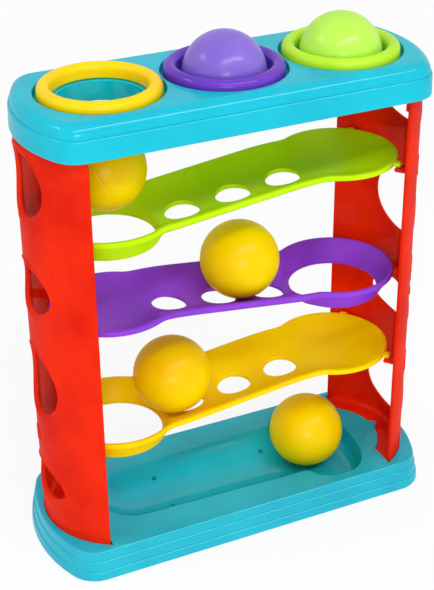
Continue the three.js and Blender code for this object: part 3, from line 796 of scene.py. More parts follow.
def ramp(node, material, reversed_ends):
    """One ramp at its height in the tower; the middle one is turned end for end."""
    level = np.array([0, 0, box_of(node)[0][2] + collar_lip])
    placed = [
        ((half_turn(grid) if reversed_ends else grid) + level, closed) for grid, closed in ramp_grids()
    ]
    piece = skin(node.replace("ramp_", "fine_ramp_"), placed)
    dress(piece, node, material)


ramp("ramp_yellow", yellow_ramp, False)
ramp("ramp_purple", purple_ramp, True)
ramp("ramp_green", green_ramp, False)

# %% [markdown]
# ## Balls
# The balls are hollow and blow-moulded in two halves, so a fine parting line runs round each. The
# line is a shallow groove, and every ball lies with it turned another way: the list gives each ball
# its tilt and its turn about the upright axis, in degrees.

# %% Balls
seam_depth = 0.12
seam_width = 0.9
ball_rows = 97
ball_columns = 120
row_crowding = 1.4


def ball_grid(centre, tilt, spin):
    """A sphere with a groove at its equator. Rows crowd towards the equator as a power of their
    share of the way to the pole."""
    share = np.linspace(-1, 1, ball_rows)
    latitude = np.sign(share) * np.abs(share) ** row_crowding * np.pi / 2
    groove = seam_depth * np.exp(-((latitude * ball_radius / seam_width * 2) ** 2))
    radius = (ball_radius - groove)[:, None, None]
    ray = circle(ball_columns)
    flat = np.cos(latitude)[:, None, None] * ray
    height = np.broadcast_to(np.sin(latitude)[:, None, None], (ball_rows, ball_columns, 1))
    points = radius * np.concatenate([flat, height], axis=2)
    turned = np.array(Matrix.Rotation(spin, 3, "Z") @ Matrix.Rotation(tilt, 3, "X"))
    return points @ turned.T + centre


ball_finishes = [
    ("ball_purple", "ball_purple", purple_ball, 80, 20),
    ("ball_green", "ball_green", green_ball, 84, -35),
    ("ball_yellow_falling", "ball_yellow", yellow_ball, 62, 70),
    ("ball_yellow_purple_ramp", "ball_yellow", yellow_ball, 75, 150),
    ("ball_yellow_yellow_ramp", "ball_yellow", yellow_ball, 66, -20),
    ("ball_yellow_tray", "ball_yellow", yellow_ball, 12, 40),
]
for node, slot, material, tilt, spin in ball_finishes:
    grid = ball_grid(centre_of(node), math.radians(tilt), math.radians(spin))
    dress(skin("fine_" + node, [(grid, True)]), node, material)

# %% [markdown]
# ## Rings
# The rings drop into round seats in the housing. Each is a plain turned section: a flat foot, a
# short wall and a half-round crown.

# %% Rings
ring_outer = (ring_high[0] - ring_low[0]) / 2
ring_inner = 26.3
ring_foot_round = 0.8
ring_crown_rows = 25
ring_columns = 144


def ring_profile():
    """(Radius, height) points: rounded corners at the foot, and half a circle for the crown."""
    half = (ring_outer - ring_inner) / 2
    middle = (ring_outer + ring_inner) / 2
    crown_foot = ring_high[2] - half
    crown = (middle, crown_foot) + half * arc_rays(0, np.pi, ring_crown_rows)
    foot = rounded(
        [
            (ring_inner, crown_foot), (ring_inner, ring_low[2]),
            (ring_outer, ring_low[2]), (ring_outer, crown_foot),
        ],
        [0, ring_foot_round, ring_foot_round, 0])
    return np.concatenate([foot, crown])


for node, slot, material in [
    ("ring_yellow", "yellow", yellow_ring),
    ("ring_purple", "ball_purple", purple_ring),
    ("ring_green", "green", green_ring),
]:
    grid = lathe(ring_profile(), centre_of(node)[:2], ring_columns)
    dress(skin("fine_" + node, [(grid, True)]), node, material)

# %% [markdown]
# ## Outlines of the base and the housing
# Both have straight sides, ends that are shallow arcs, and rounded corners. One function gives the
# outline drawn in by any inset, always with the same number of points, so that rings at different
# heights line up.

# %% Outline with arc ends
side_count = 90
corner_count = 22
end_count = 44
least_corner = 0.3


def plan(half_length, half_width, end_radius, corner_radius, inset):
    """Anticlockwise outline: corner arc, end arc, corner arc and straight side, then their half turn."""
    end = end_radius - inset
    corner = max(corner_radius - inset, least_corner)
    width = half_width - inset
    centre = half_length - end_radius
    corner_x = centre + math.sqrt((end - corner) ** 2 - (width - corner) ** 2)
    turn = math.atan2(width - corner, corner_x - centre)

    def bend(x, y, radius, start, stop, count):
        return (x, y) + radius * arc_rays(start, stop, count, endpoint=False)

    side = np.linspace((corner_x, width), (-corner_x, width), side_count, endpoint=False)
    half = np.concatenate([
        bend(corner_x, corner - width, corner, -np.pi / 2, -turn, corner_count),
        bend(centre, 0, end, -turn, turn, end_count),
        bend(corner_x, width - corner, corner, turn, np.pi / 2, corner_count),
        side,
    ])
    return np.concatenate([half, -half])


# %% [markdown]
# A wall is that outline carried up a profile: each height has its own inset. Flat lids and bars' ends
# are fans of thin triangles round one point.

# %% Walls and lids
def stacked(outline_of, profile):
    """A wall carried round an outline: each (height, inset) pair of the profile is one ring."""
    return np.stack([raised(outline_of(inset), height) for height, inset in profile])


def cap(ring, height):
    """A flat lid: the ring, and a point on the toy's axis repeated, which the weld makes one."""
    return np.stack([raised(ring, height), raised(np.zeros_like(ring), height)])


def closing_fan(row):
    """A flat end for a bar: its last row, and the row's middle repeated."""
    middle = np.broadcast_to(row.mean(axis=1, keepdims=True), row.shape)
    return np.concatenate([row, middle]), True


# %% [markdown]
# ## Joining and cutting
# Pockets, bores and wells are cut as a machinist would: a cutter in the shape of what has to go.
# The visible surfaces that a cutter meets are flat, so the cut leaves no mark in their shading.

# %% Boolean helper
def carve(piece, tools, operation):
    """Joins each tool to the piece or cuts it away, and removes the tool."""
    for tool in tools:
        step = piece.modifiers.new("step", "BOOLEAN")
        step.operation = operation
        step.solver = "MANIFOLD"
        step.object = tool
        graph = bpy.context.evaluated_depsgraph_get()
        result = bpy.data.meshes.new_from_object(piece.evaluated_get(graph))
        piece.modifiers.clear()
        piece.data = result
        bpy.data.objects.remove(tool)
    print(piece.name, "now has", len(piece.data.polygons), "faces")


def solid_wall(outline_points, bottom, top):
    """An upright prism on a star-shaped outline, closed by a fan from the outline's own middle."""
    fan = np.broadcast_to(outline_points.mean(axis=0), outline_points.shape)
    rings = [(fan, bottom), (outline_points, bottom), (outline_points, top), (fan, top)]
    return skin("tool", [(np.stack([raised(ring, height) for ring, height in rings]), True)])


# %% [markdown]
# ## Side panels
# A panel is a thin wall bent to an arc, with four oval openings. Each opening has a raised rim and a
# countersunk edge outside. The wall is laid out flat, by length along the arc and height, and then
# bent, so that the ovals keep their shape on it. Each opening is given by its middle's height and by
# half its own height, as shares of the height at which the housing begins. The rim's section runs
# from the inner face through the hole, up over the rim and down to the outer face.

# %% Panel sizes and bend
panel_radius = 49
panel_centre = 73.3
panel_wall = 2.5
panel_turn = math.radians(60.39)
panel_foot = 5.8
panel_edge_round = 0.8
opening_half_width = 21.4
opening_sink = 2.0
opening_rim_width = 3.8
opening_rim_rise = 0.6
opening_toe = 0.2
opening_apron = 1
opening_inner_band = 0.7
opening_round = 0.5
right_opening_shares = np.array(
    [(0.1886, 0.074), (0.4312, 0.0429), (0.6916, 0.0814), (0.9342, 0.0466)])
left_opening_shares = np.array(
    [(0.1768, 0.0381), (0.4371, 0.0769), (0.6672, 0.0518), (0.9098, 0.0725)])
seat_gap = 0.3

panel_inner = panel_radius - panel_wall
panel_half_depth = panel_radius * math.sin(panel_turn)
panel_half_arc = panel_radius * panel_turn
panel_top = housing_low[2] - seat_gap
opening_profile = rounded(
    [
        (opening_inner_band, panel_inner),
        (0, panel_inner),
        (0, panel_radius - panel_wall / 2),
        (opening_sink, panel_radius + opening_rim_rise),
        (opening_rim_width - opening_rim_rise, panel_radius + opening_rim_rise),
        (opening_rim_width - opening_toe, panel_radius),
        (opening_rim_width + opening_apron, panel_radius),
    ],
    [0, opening_round, opening_round, opening_rim_rise, opening_round, opening_round, 0])
print("the panel's wall is", panel_half_arc * 2, "mm long round its arc")


def bent(along, radius, height):
    """A point of the flat layout on the bent wall: the arc's turn is its length over the radius."""
    turn = along / panel_radius
    return np.stack([panel_centre + radius * np.cos(turn), radius * np.sin(turn), height], axis=-1)


# %% [markdown]
# The wall is divided by level cuts halfway between its openings. In each part, rings run from the
# opening out to the part's own edge, on the outer face and on the inner one, and neighbours share
# the points of the cut between them.

# %% Panel wall with its openings
arc_count = 96
height_step = 1.6
plate_shares = np.linspace(0, 1, 10)
edge_softness = 0.95


def loop_round(across, rise):
    """The closed loop round a rectangle, from its columns across and its rows up."""
    columns, rows = np.ones(len(across) - 1), np.ones(len(rise) - 1)
    return np.concatenate([
        np.stack([across[:-1], columns * rise[0]], axis=1),
        np.stack([rows * across[-1], rise[:-1]], axis=1),
        np.stack([across[:0:-1], columns * rise[-1]], axis=1),
        np.stack([rows * across[0], rise[:0:-1]], axis=1),
    ])


def bent_rings(flat, radius):
    """Rings of the flat layout on the bent wall, at one radius or at one for each ring."""
    radius = np.broadcast_to(np.reshape(radius, (-1, 1)), flat.shape[:2])
    return bent(flat[..., 0], radius, flat[..., 1]), True


def opening_grids(centre, half_height, boundary):
    """An opening's rim, and the wall's two faces from it out to its part of the wall's edge."""
    oval = (0, centre), (opening_half_width, half_height)
    rim = spread_rings(*oval, boundary, opening_profile[:, 0], (0,))
    grids = [bent_rings(rim, opening_profile[:, 1])]
    for start, radius in ((opening_profile[-1, 0], panel_radius), (opening_profile[0, 0], panel_inner)):
        grids.append(bent_rings(spread_rings(*oval, boundary, (start,), plate_shares), radius))
    return grids


def panel_edge_grid(loop):
    """The wall's rounded outer edge: the loop is stretched from its middle by the edge's profile."""
    low, high = loop.min(axis=0), loop.max(axis=0)
    middle, reach = (low + high) / 2, (high - low) / 2
    turn = panel_edge_round * edge_softness
    edge = rounded(
        [
            (0, panel_radius), (panel_edge_round, panel_radius),
            (panel_edge_round, panel_inner), (0, panel_inner),
        ],
        [0, turn, turn, 0])
    grown = middle + (loop - middle) * (1 + edge[:, 0, None, None] / reach)
    return bent_rings(grown, edge[:, 1])


def panel_wall_grids(openings):
    """Both faces, the openings' rims and the rounded outer edge of one bent wall."""
    half = panel_half_arc - panel_edge_round
    bottom = panel_foot + panel_edge_round
    top = panel_top - panel_edge_round
    halfway = [
        (low_centre + low_half + high_centre - high_half) / 2
        for (low_centre, low_half), (high_centre, high_half) in zip(openings[:-1], openings[1:])
    ]
    cuts = [bottom] + halfway + [top]
    across = np.linspace(-half, half, arc_count)
    grids = []
    side = []
    for (centre, half_height), low, high in zip(openings, cuts[:-1], cuts[1:]):
        rise = np.linspace(low, high, int((high - low) / height_step))
        side.append(rise[:-1])
        grids += opening_grids(centre, half_height, loop_round(across, rise))
    return grids + [panel_edge_grid(loop_round(across, np.concatenate(side + [[top]])))]


# %% [markdown]
# Inside, a foot flange fills the space between the wall and the base's round tongue. It is worked
# out across at each depth, from the tongue's edge to the wall, and a hollow fillet leads from it up
# the wall.

# %% Foot flange
flange_thickness = 2.5
flange_fillet = 4.5
flange_fillet_share = 0.7
flange_fillet_rows = 9
flange_round = 0.4
flange_end_gap = 0.05
flange_columns = 141
tongue_radius = 34
tongue_bump_radius = 3.6
panel_edge_x = panel_centre + panel_inner * math.cos(panel_turn)


def tongue_reach(y, clearance):
    """How far out the base's tongue goes at each y: a large circle with a small bump at its tip."""
    large = tongue_radius + clearance
    small = tongue_bump_radius + clearance
    circle_x = hole_pitch + np.sqrt(np.maximum(large ** 2 - y ** 2, 0))
    bump_tip = hole_pitch + tongue_radius + np.sqrt(np.maximum(small ** 2 - y ** 2, 0))
    bump_x = np.where(np.abs(y) < small, bump_tip, 0)
    return np.maximum(circle_x, bump_x)


def flange_grids():
    """A plate from the tongue to the wall, worked out across at each y, with its fillet."""
    top = deck_height - seat_gap
    half = panel_inner * math.sin(panel_turn) - flange_end_gap
    y = half * np.sin(np.linspace(-np.pi / 2, np.pi / 2, flange_columns))
    inner = np.maximum(tongue_reach(y, seat_gap), panel_edge_x)
    outer = panel_centre + np.sqrt((panel_radius - panel_wall / 2) ** 2 - y ** 2)
    face = panel_centre + np.sqrt(panel_inner ** 2 - y ** 2)
    fillet = np.minimum(flange_fillet, (face - inner) * flange_fillet_share)
    angle = np.linspace(0, np.pi / 2, flange_fillet_rows)[:, None]
    rows = [
        (inner, top - flange_thickness),
        (inner, top - flange_round),
        (np.minimum(inner + flange_round, face), top),
    ]
    rows += [(face - fillet * (1 - np.sin(a)), top + fillet * (1 - np.cos(a))) for a in angle]
    rows += [(outer, top + fillet), (outer, top - flange_thickness)]
    points = np.stack([
        np.stack([x, y, np.broadcast_to(z, y.shape)], axis=-1) for x, z in rows
    ], axis=1)
    return [(points, True), closing_fan(points[:1]), closing_fan(points[-1:])]


# %% [markdown]
# Small brackets inside the wall carry the ramps, a tab on top goes up into the housing, and two
# bosses under the flange take the screws. Each is a closed form of its own that reaches into the
# wall or the flange, so the joint doesn't show.

# %% Tab, brackets and bosses
tab_inset = 1.8
tab_root = 8
tab_rise = 12.6
tab_turn_share = 0.98
bar_columns = 61
bracket_width = 8
bracket_thickness = 2.5
bracket_round = 1.1
screw_hole_radius = 1.75
boss_radius = 3.8
boss_columns = 32
boss_from_edge = 7.7
boss_from_side = 11.6
boss_x = panel_edge_x + boss_from_edge
boss_y = panel_half_depth - boss_from_side
print("screw bosses lie at", (boss_x, boss_y))


def arc_bar(inner, outer, turn, bottom, top):
    """A closed bar with a rectangular section, bent to the panel's arc."""
    ray = arc_rays(-turn, turn, bar_columns)
    section = [(inner, bottom), (outer, bottom), (outer, top), (inner, top)]
    rows = np.stack([
        raised(np.array([panel_centre, 0]) + radius * ray, height) for radius, height in section
    ], axis=1)
    return [(rows, True), closing_fan(rows[:1]), closing_fan(rows[-1:])]


def bracket_grid(radius, angle, bottom):
    """A rounded block on the wall's inside, just below a ramp's ear."""
    start = radius + seat_gap
    length = panel_inner + panel_wall / 2 - hole_pitch + panel_centre - start
    top = bottom - seat_gap
    half = (length / 2, bracket_width / 2, bracket_thickness / 2)
    centre = (start + length / 2, 0, top - bracket_thickness / 2)
    return pebble(half, bracket_round, centre, angle, (hole_pitch, 0)), True


def boss_grid(side):
    """A hollow post under the flange that a screw bites into."""
    low, high = panel_foot, deck_height - seat_gap - flange_thickness / 2
    inner, outer = screw_hole_radius, boss_radius
    profile = np.array([(inner, low), (outer, low), (outer, high), (inner, high), (inner, low)])
    return lathe(profile, (boss_x, side * boss_y), boss_columns), True


# %% [markdown]
# The outside carries a faint pattern of raised rings, like bubbles, of the kind that gives small
# hands a grip. Each is a low round bead laid on the bent wall. The pattern is the same on both sides
# of the wall's middle, apart from a pair of rings between the left panel's lowest openings.

# %% Embossed rings
bead_rise = 0.45
bead_width = 1.5
bead_columns = 48
bead_rows = 8


def bead_ring(along, height, radius):
    """A bead round a circle on the wall: its section is an oval, half above the surface."""
    ray = circle(bead_columns)
    section = np.linspace(0, 2 * np.pi, bead_rows, endpoint=False)
    out = radius + bead_width / 2 * np.cos(section)[:, None]
    rise = bead_rise * np.sin(section)[:, None]
    flat_along = along + out * ray[:, 0]
    flat_height = height + out * ray[:, 1]
    grid = bent(flat_along, panel_radius + rise + np.zeros_like(flat_along), flat_height)
    return np.concatenate([grid, grid[:1]]), True


# %% [markdown]
# The two panels differ in their openings, in the rings on them and in what rests inside: the ramps'
# pads have two brackets each, and their collars one. The left panel is the right one's moulding idea
# turned end for end.

# %% Both panels
def panel(node, openings, rests, beads, reversed_ends):
    """One side panel: wall, flange, tab, bosses, brackets and embossed rings."""
    grids = panel_wall_grids(openings) + flange_grids()
    grids += arc_bar(
        panel_inner - tab_inset, panel_radius - tab_inset, panel_turn * tab_turn_share,
        panel_top - tab_root, housing_low[2] + tab_rise)
    grids += [bracket_grid(*rest) for rest in rests]
    grids += [boss_grid(side) for side in (-1, 1)]
    grids += [bead_ring(*bead) for bead in beads]
    if reversed_ends:
        grids = [(half_turn(grid), closed) for grid, closed in grids]
    piece = skin(node.replace("side_panel", "fine_panel"), grids)
    dress(piece, node, red_panel)


ramp_levels = {
    name: box_of("ramp_" + name)[0][2] + collar_lip for name in ("yellow", "purple", "green")
}


def pad_rests(level):
    """Reach, turn and height of the two brackets under the pad of a ramp at that level."""
    bottom = level + pad_rim_height - ear_drop - ear_size[2]
    return [(pad_radius, side * ear_angle, bottom) for side in (-1, 1)]


def collar_rests(level):
    """Reach, turn and height of the bracket under the collar of a ramp at that level."""
    return [(collar_radius, 0.0, level + tab_height)]


# Each embossed ring is its length along the arc from the wall's middle, its height and its radius.
left_bubbles = [
    (29, 171, 6.5), (29, 171, 2.8), (25, 222, 9), (28, 225, 4), (26, 147, 5), (27, 198, 2), (27, 31, 7),
]
right_bubbles = [
    (29, 84, 6.5), (29, 84, 2.8), (25, 150, 8), (28, 152, 3.5), (26, 220, 6), (27, 134, 2), (27, 22, 6),
]
middle_bubbles = [(-8, 77, 5), (-8, 77, 2)]


def both_sides(bubbles):
    """The rings, and the same ones beyond the wall's middle."""
    return bubbles + [(-along, height, radius) for along, height, radius in bubbles]


right_rests = pad_rests(ramp_levels["yellow"]) + collar_rests(ramp_levels["purple"])
right_rests += pad_rests(ramp_levels["green"])
left_rests = collar_rests(ramp_levels["yellow"]) + pad_rests(ramp_levels["purple"])
left_rests += collar_rests(ramp_levels["green"])
panel(
    "side_panel_right", right_opening_shares * housing_low[2], right_rests,
    both_sides(right_bubbles), False)
panel(
    "side_panel_left", left_opening_shares * housing_low[2], left_rests,
    both_sides(left_bubbles) + middle_bubbles, True)

# %% [markdown]
# ## Top housing
# A shell with a bead line round its side and a rounded shoulder. Its deck carries three round seats,
# and a tube under each guides the ball. The bead ends in a narrow bevel that catches the long lamp.

# %% Housing sizes and side
housing_end_x = housing_high[0]
housing_half_width = housing_high[1]
housing_bottom, housing_top = housing_low[2], housing_high[2]
housing_end_radius = 80
housing_corner_radius = 17.7
housing_wall = 2.3
housing_deck = 2.4
bead_drop = 8
bead_height = housing_top - bead_drop
bead_step = 1.1
bead_lean = 0.4
bead_bevel = 0.9
bead_facing = math.radians(40)
foot_round = 0.8
shoulder_radius = 7
shoulder_rows = 13
hollow_shoulder_share = 0.6
seat_radius = 36.2
seat_depth = 4.2
seat_floor = housing_top - seat_depth
tube_wall = 2.2
tube_reach = 16
tube_bottom = housing_top - tube_reach
cup_margin = 1
lip_round = 0.7
solid_columns = 128
cut_overrun = 6
bore_radius = ball_radius + seat_gap


def housing_plan(inset):
    """The housing's outline, drawn in by inset."""
    return plan(housing_end_x, housing_half_width, housing_end_radius, housing_corner_radius, inset)


def housing_profile():
    """(Height, inset) pairs: a rounded foot, a side that leans in, the bead's bevel and step, and a
    quarter circle for the shoulder."""
    shoulder_foot = bead_step + bead_lean
    foot = rounded(
        [(housing_bottom, 2 * foot_round), (housing_bottom, 0), (bead_height, bead_lean)],
        [0, foot_round, 0])
    bead = soft_bevel(
        (bead_height, bead_lean), bead_bevel, bead_facing, (bead_height, shoulder_foot))
    ray = arc_rays(0, np.pi / 2, shoulder_rows)
    shoulder = np.stack([
        housing_top - shoulder_radius * (1 - ray[:, 1]),
        shoulder_foot + shoulder_radius * (1 - ray[:, 0]),
    ], axis=1)
    return np.concatenate([foot[:-1], bead, shoulder])


# %% [markdown]
# A solid has to be closed before it can cut or be cut. One helper closes a stack of rings with a lid
# at each end, and another turns a profile that starts and ends on the axis.

# %% Closed solids
def closed_stack(outline_of, profile, name):
    """A closed solid from stacked rings, with a fan over the first and the last."""
    wall = stacked(outline_of, profile)
    first, last = profile[0], profile[-1]
    return skin(name, [
        (cap(outline_of(first[1]), first[0])[::-1], True),
        (wall, True),
        (cap(outline_of(last[1]), last[0]), True),
    ])


def turned_solid(profile, centre, count=solid_columns):
    """A closed solid of revolution: the profile starts and ends on the axis."""
    return skin("tool", [(lathe(np.asarray(profile, float), centre, count), True)])


def drum(radius, bottom, top, centre, count=turned_columns):
    """A plain round disc or post."""
    return turned_solid([(0, bottom), (radius, bottom), (radius, top), (0, top)], centre, count)


# %% [markdown]
# Under the deck, each seat has a cup and each bore a tube, which are drums that are joined to the
# shell. The seats and bores themselves are turned cutters whose edge leaves a rounded lip.

# %% Cups, tubes and cutters
def cup_and_tube(place):
    """The walls of one seat and its tube. The cup is kept within the housing's own walls."""
    cup = drum(
        seat_radius + tube_wall, seat_floor - tube_wall, housing_top - housing_deck / 2, place,
        solid_columns)
    tube = drum(bore_radius + tube_wall, tube_bottom, seat_floor, place, solid_columns)
    limit = closed_stack(housing_plan, [
        (housing_bottom + cup_margin, housing_wall / 2),
        (housing_top - shoulder_radius, housing_wall / 2 + cup_margin),
        (housing_top - cup_margin, shoulder_radius + cup_margin),
    ], "tool")
    carve(cup, [limit], "INTERSECT")
    return [cup, tube]


def lipped_cutter(radius, bottom, lip_height, place):
    """A round cutter from bottom up, which leaves a rounded lip where it passes lip_height."""
    wide = radius + 2 * lip_round
    top = housing_top + cut_overrun
    return turned_solid(np.concatenate([
        [(0, bottom)],
        rounded([(radius, bottom), (radius, lip_height), (wide, lip_height)], [0, lip_round, 0]),
        [(wide, top), (0, top)],
    ]), place)


# %% [markdown]
# The shell is a solid less its hollow. All cups and tubes are joined before anything is cut through
# them, because the seats lie so close that a cup reaches a little into the seat beside it.

# %% Build the housing
housing = closed_stack(housing_plan, housing_profile(), "fine_top_housing")
hollow = closed_stack(housing_plan, [
    (housing_bottom - cut_overrun, housing_wall),
    (housing_top - shoulder_radius, housing_wall),
    (housing_top - housing_deck, housing_wall + shoulder_radius * hollow_shoulder_share),
], "tool")
carve(housing, [hollow], "DIFFERENCE")
hole_places = [(-hole_pitch, 0), (0, 0), (hole_pitch, 0)]
for place in hole_places:
    carve(housing, cup_and_tube(place), "UNION")
for place in hole_places:
    seat = lipped_cutter(seat_radius, seat_floor, housing_top, place)
    bore = lipped_cutter(bore_radius, tube_bottom - cut_overrun, seat_floor, place)
    carve(housing, [seat, bore], "DIFFERENCE")
dress(housing, "top_housing", turquoise_top)
level_shading(housing)

# %% [markdown]
# ## Base
# The skirt flares out in three tiers round a flat deck. Each tier leans in a little and ends in a
# narrow bevel, whose thin bright line marks it in the picture.

# %% Base sizes and skirt
base_end_x = base_high[0]
base_half_width = base_high[1]
base_end_radius = 95
base_corner_radius = 19.4
base_wall = 2.2
tier_step = 0.9
tier_lean = 0.45
tier_bevel = 0.9
tier_facing = math.radians(50)
tier_shares = (0, 0.31, 0.668)
skirt_foot = [(0, 0.4), (0.1, 0.1), (0.4, 0)]
tier_pitch = tier_step + tier_lean
skirt_inset = len(tier_shares) * tier_pitch


def base_plan(inset):
    """The base's outline, drawn in by inset."""
    return plan(base_end_x, base_half_width, base_end_radius, base_corner_radius, inset)


def skirt_profile():
    """(Height, inset) pairs from the rounded foot up the three tiers to the deck."""
    profile = list(skirt_foot)
    feet = [share * deck_height for share in tier_shares] + [deck_height]
    for k, (bottom, top) in enumerate(zip(feet[:-1], feet[1:])):
        foot_inset = k * tier_pitch
        lean_end = foot_inset + tier_lean
        ledge = 2 * tier_step if top == deck_height else tier_step
        profile.append((bottom + tier_step / 2, foot_inset))
        profile += list(
            soft_bevel((top, lean_end), tier_bevel, tier_facing, (top, lean_end + ledge)))
    return profile


print("the tiers start at", [share * deck_height for share in tier_shares], "mm")

# %% [markdown]
# The tray is a round-bottomed trough that falls gently to a wide dish at the right. It is a height
# over the plan: the lower of the two, with a fillet where they cross and a soft lip where they reach
# the deck. A wall's thickness further out, the same two forms give the tray's underside. The dish's
# shares give its wall, from its floor outwards: how high it stands, and how wide it is there.

# %% Tray heights
tray_floor = 5
tray_fall_slope = 0.031
trough_radius = 34
tray_left_end = 66
dish_centre = 64.5
dish_half = (24.4, 40.8)
dish_squareness = 2.4
dish_shares = np.array([(0, 0.62), (0.07, 0.78), (0.28, 0.9), (0.58, 0.965), (1, 1), (1.5, 1.03)])
lip_blend = 2.6
lip_rise = 0.02
dish_blend = 3.0
dish_search = (0.3, 1.2)
dish_search_steps = 24
clear_of_deck = 2
tray_margin = 6


def trough_height(x, y, wall):
    """A round-bottomed trough that falls to the right, with a half-round left end. Past the dish's
    middle it is out of the way, above the deck."""
    radius = trough_radius + wall
    out = np.minimum(np.hypot(np.minimum(x + tray_left_end, 0), y), radius)
    floor = tray_floor + tray_fall_slope * (dish_centre - x)
    height = floor + trough_radius - np.sqrt(radius ** 2 - out ** 2)
    return np.where(x > dish_centre, deck_height * clear_of_deck, height)


def dish_height(x, y, wall):
    """The dish's wall rises as shares of its depth; its outline at each share is a squared oval.
    The share that passes through each point is found by halving."""
    low = np.full(x.shape, dish_search[0])
    high = np.full(x.shape, dish_search[1])
    for _ in range(dish_search_steps):
        share = (low + high) / 2
        along = dish_half[0] * share + wall
        across = dish_half[1] - dish_half[0] * (1 - share) + wall
        out = (np.abs(x - dish_centre) / along) ** dish_squareness
        out += (np.abs(y) / across) ** dish_squareness
        high = np.where(out < 1, share, high)
        low = np.where(out < 1, low, share)
    depth = np.interp(share, dish_shares[:, 1], dish_shares[:, 0])
    depth = np.where(share > dish_shares[-1, 1], clear_of_deck, depth)
    return tray_floor - wall + (deck_height - tray_floor) * depth


def tray_height(x, y, wall, ceiling, blend):
    """The lower of trough and dish, levelled off at the ceiling with a lip as wide as blend."""
    tray = smooth_min(trough_height(x, y, wall), dish_height(x, y, wall), dish_blend)
    return smooth_min(tray, np.full(x.shape, ceiling), blend)


def tray_solid(wall, ceiling, blend, top, step):
    """A solid whose lower face is the tray's, and whose flat top lies above the deck or within it."""
    left = -tray_left_end - trough_radius - tray_margin
    right = dish_centre + dish_half[0] + tray_margin
    side = dish_half[1] + tray_margin / 2
    x = np.linspace(left, right, int(2 * base_end_x / step))
    y = np.linspace(-side, side, int(2 * base_half_width / step))
    flat = np.stack(np.meshgrid(x, y, indexing="ij"), axis=-1)
    face = raised(flat, tray_height(flat[..., 0], flat[..., 1], wall, ceiling, blend))
    border = np.concatenate([face[:-1, 0], face[-1, :-1], face[:0:-1, -1], face[0, :0:-1]])
    lid = cap(border[:, :2], top)
    return skin("tool", [(face, False), (np.stack([border, lid[0]]), True), (lid, True)])


# %% [markdown]
# Under the deck, ribs stiffen the shell, and each end has a seat for its panel: a plate under the
# flange's pocket, a well for the wall's foot and two more for the screw bosses. Four drain holes
# let washing water out through short spouts.

# %% Sizes under the deck
rib_thickness = 1.8
rib_foot = 3
rib_places = (-54, -18, 18, 54)
screw_plate = 2.5
under_deck = deck_height - base_wall / 2
pocket_floor = deck_height - flange_thickness - 2 * seat_gap
pocket_top = deck_height + cut_overrun
slot_floor = panel_foot - seat_gap
well_floor = slot_floor - screw_plate
slot_inner = panel_inner - seat_gap
slot_outer = panel_radius + seat_gap
slot_turn = math.asin((panel_half_depth + seat_gap) / slot_outer)
well_turn = math.asin((panel_half_depth + seat_gap + base_wall / 2) / slot_outer)
boss_room = boss_radius + seat_gap
segment_columns = 97
drain_radius = 1.5
drain_columns = 24
spout_low, spout_high = 3.5, 12
drain_shares = (-0.616, 0.43)
drain_offset = 15.5
print("the flange's pocket is", deck_height - pocket_floor, "mm deep")


# %% [markdown]
# The right end's seat is made of what is joined under the deck and of what is cut from above, and
# the left end's is the same turned end for end.

# %% Seats for the panels
def panel_segment(edge, outer):
    """Plan of the region between a chord across the panel and an arc round its centre."""
    turn = math.acos((edge - panel_centre) / outer)
    return (panel_centre, 0) + outer * arc_rays(-turn, turn, segment_columns)


def slab(x, y, size_x, size_y, bottom, top):
    """A plain block round an upright axis through x, y."""
    half = np.array([size_x, size_y]) / 2
    corners = np.array([(-1, -1), (1, -1), (1, 1), (-1, 1)]) * half + (x, y)
    return solid_wall(corners, bottom, top)


def at_bosses(radius, bottom, top):
    """A drum at each of the right panel's two screw bosses."""
    return [drum(radius, bottom, top, (boss_x, side * boss_y)) for side in (-1, 1)]


def seat_pieces():
    """Plate, well and boss wells under the right panel."""
    plate = solid_wall(
        panel_segment(panel_edge_x - seat_gap - base_wall, slot_outer + base_wall / 2),
        pocket_floor - base_wall, under_deck)
    well = arc_bar(
        slot_inner - base_wall, slot_outer + base_wall, well_turn, well_floor, pocket_floor)
    posts = at_bosses(boss_room + base_wall, well_floor, pocket_floor)
    return [plate, skin("tool", well)] + posts


def seat_cuts():
    """Pocket round the tongue, slot for the wall, boss wells and screw holes of the right panel."""
    pocket = solid_wall(panel_segment(panel_edge_x - seat_gap, slot_outer), pocket_floor, pocket_top)
    tongue = drum(tongue_radius, 0, 2 * pocket_top, (hole_pitch, 0))
    bump = drum(tongue_bump_radius, 0, 2 * pocket_top, (hole_pitch + tongue_radius, 0))
    carve(pocket, [tongue, bump], "DIFFERENCE")
    slot = skin("tool", arc_bar(slot_inner, slot_outer, slot_turn, slot_floor, pocket_top))
    wells = at_bosses(boss_room, slot_floor, pocket_top)
    holes = at_bosses(screw_hole_radius, -cut_overrun, pocket_top)
    return [pocket, slot] + wells + holes


def at_left(tools):
    """The same tools turned end for end."""
    for tool in tools:
        tool.data.transform(Matrix.Rotation(np.pi, 4, "Z"))
    return tools


# %% [markdown]
# The base is built in the housing's order. The skirt and deck are a solid less its hollow. All that
# lies under the deck is joined first, trimmed to the skirt's inside and then joined to it. The tray,
# the seats and the drains are cut from above at the end.

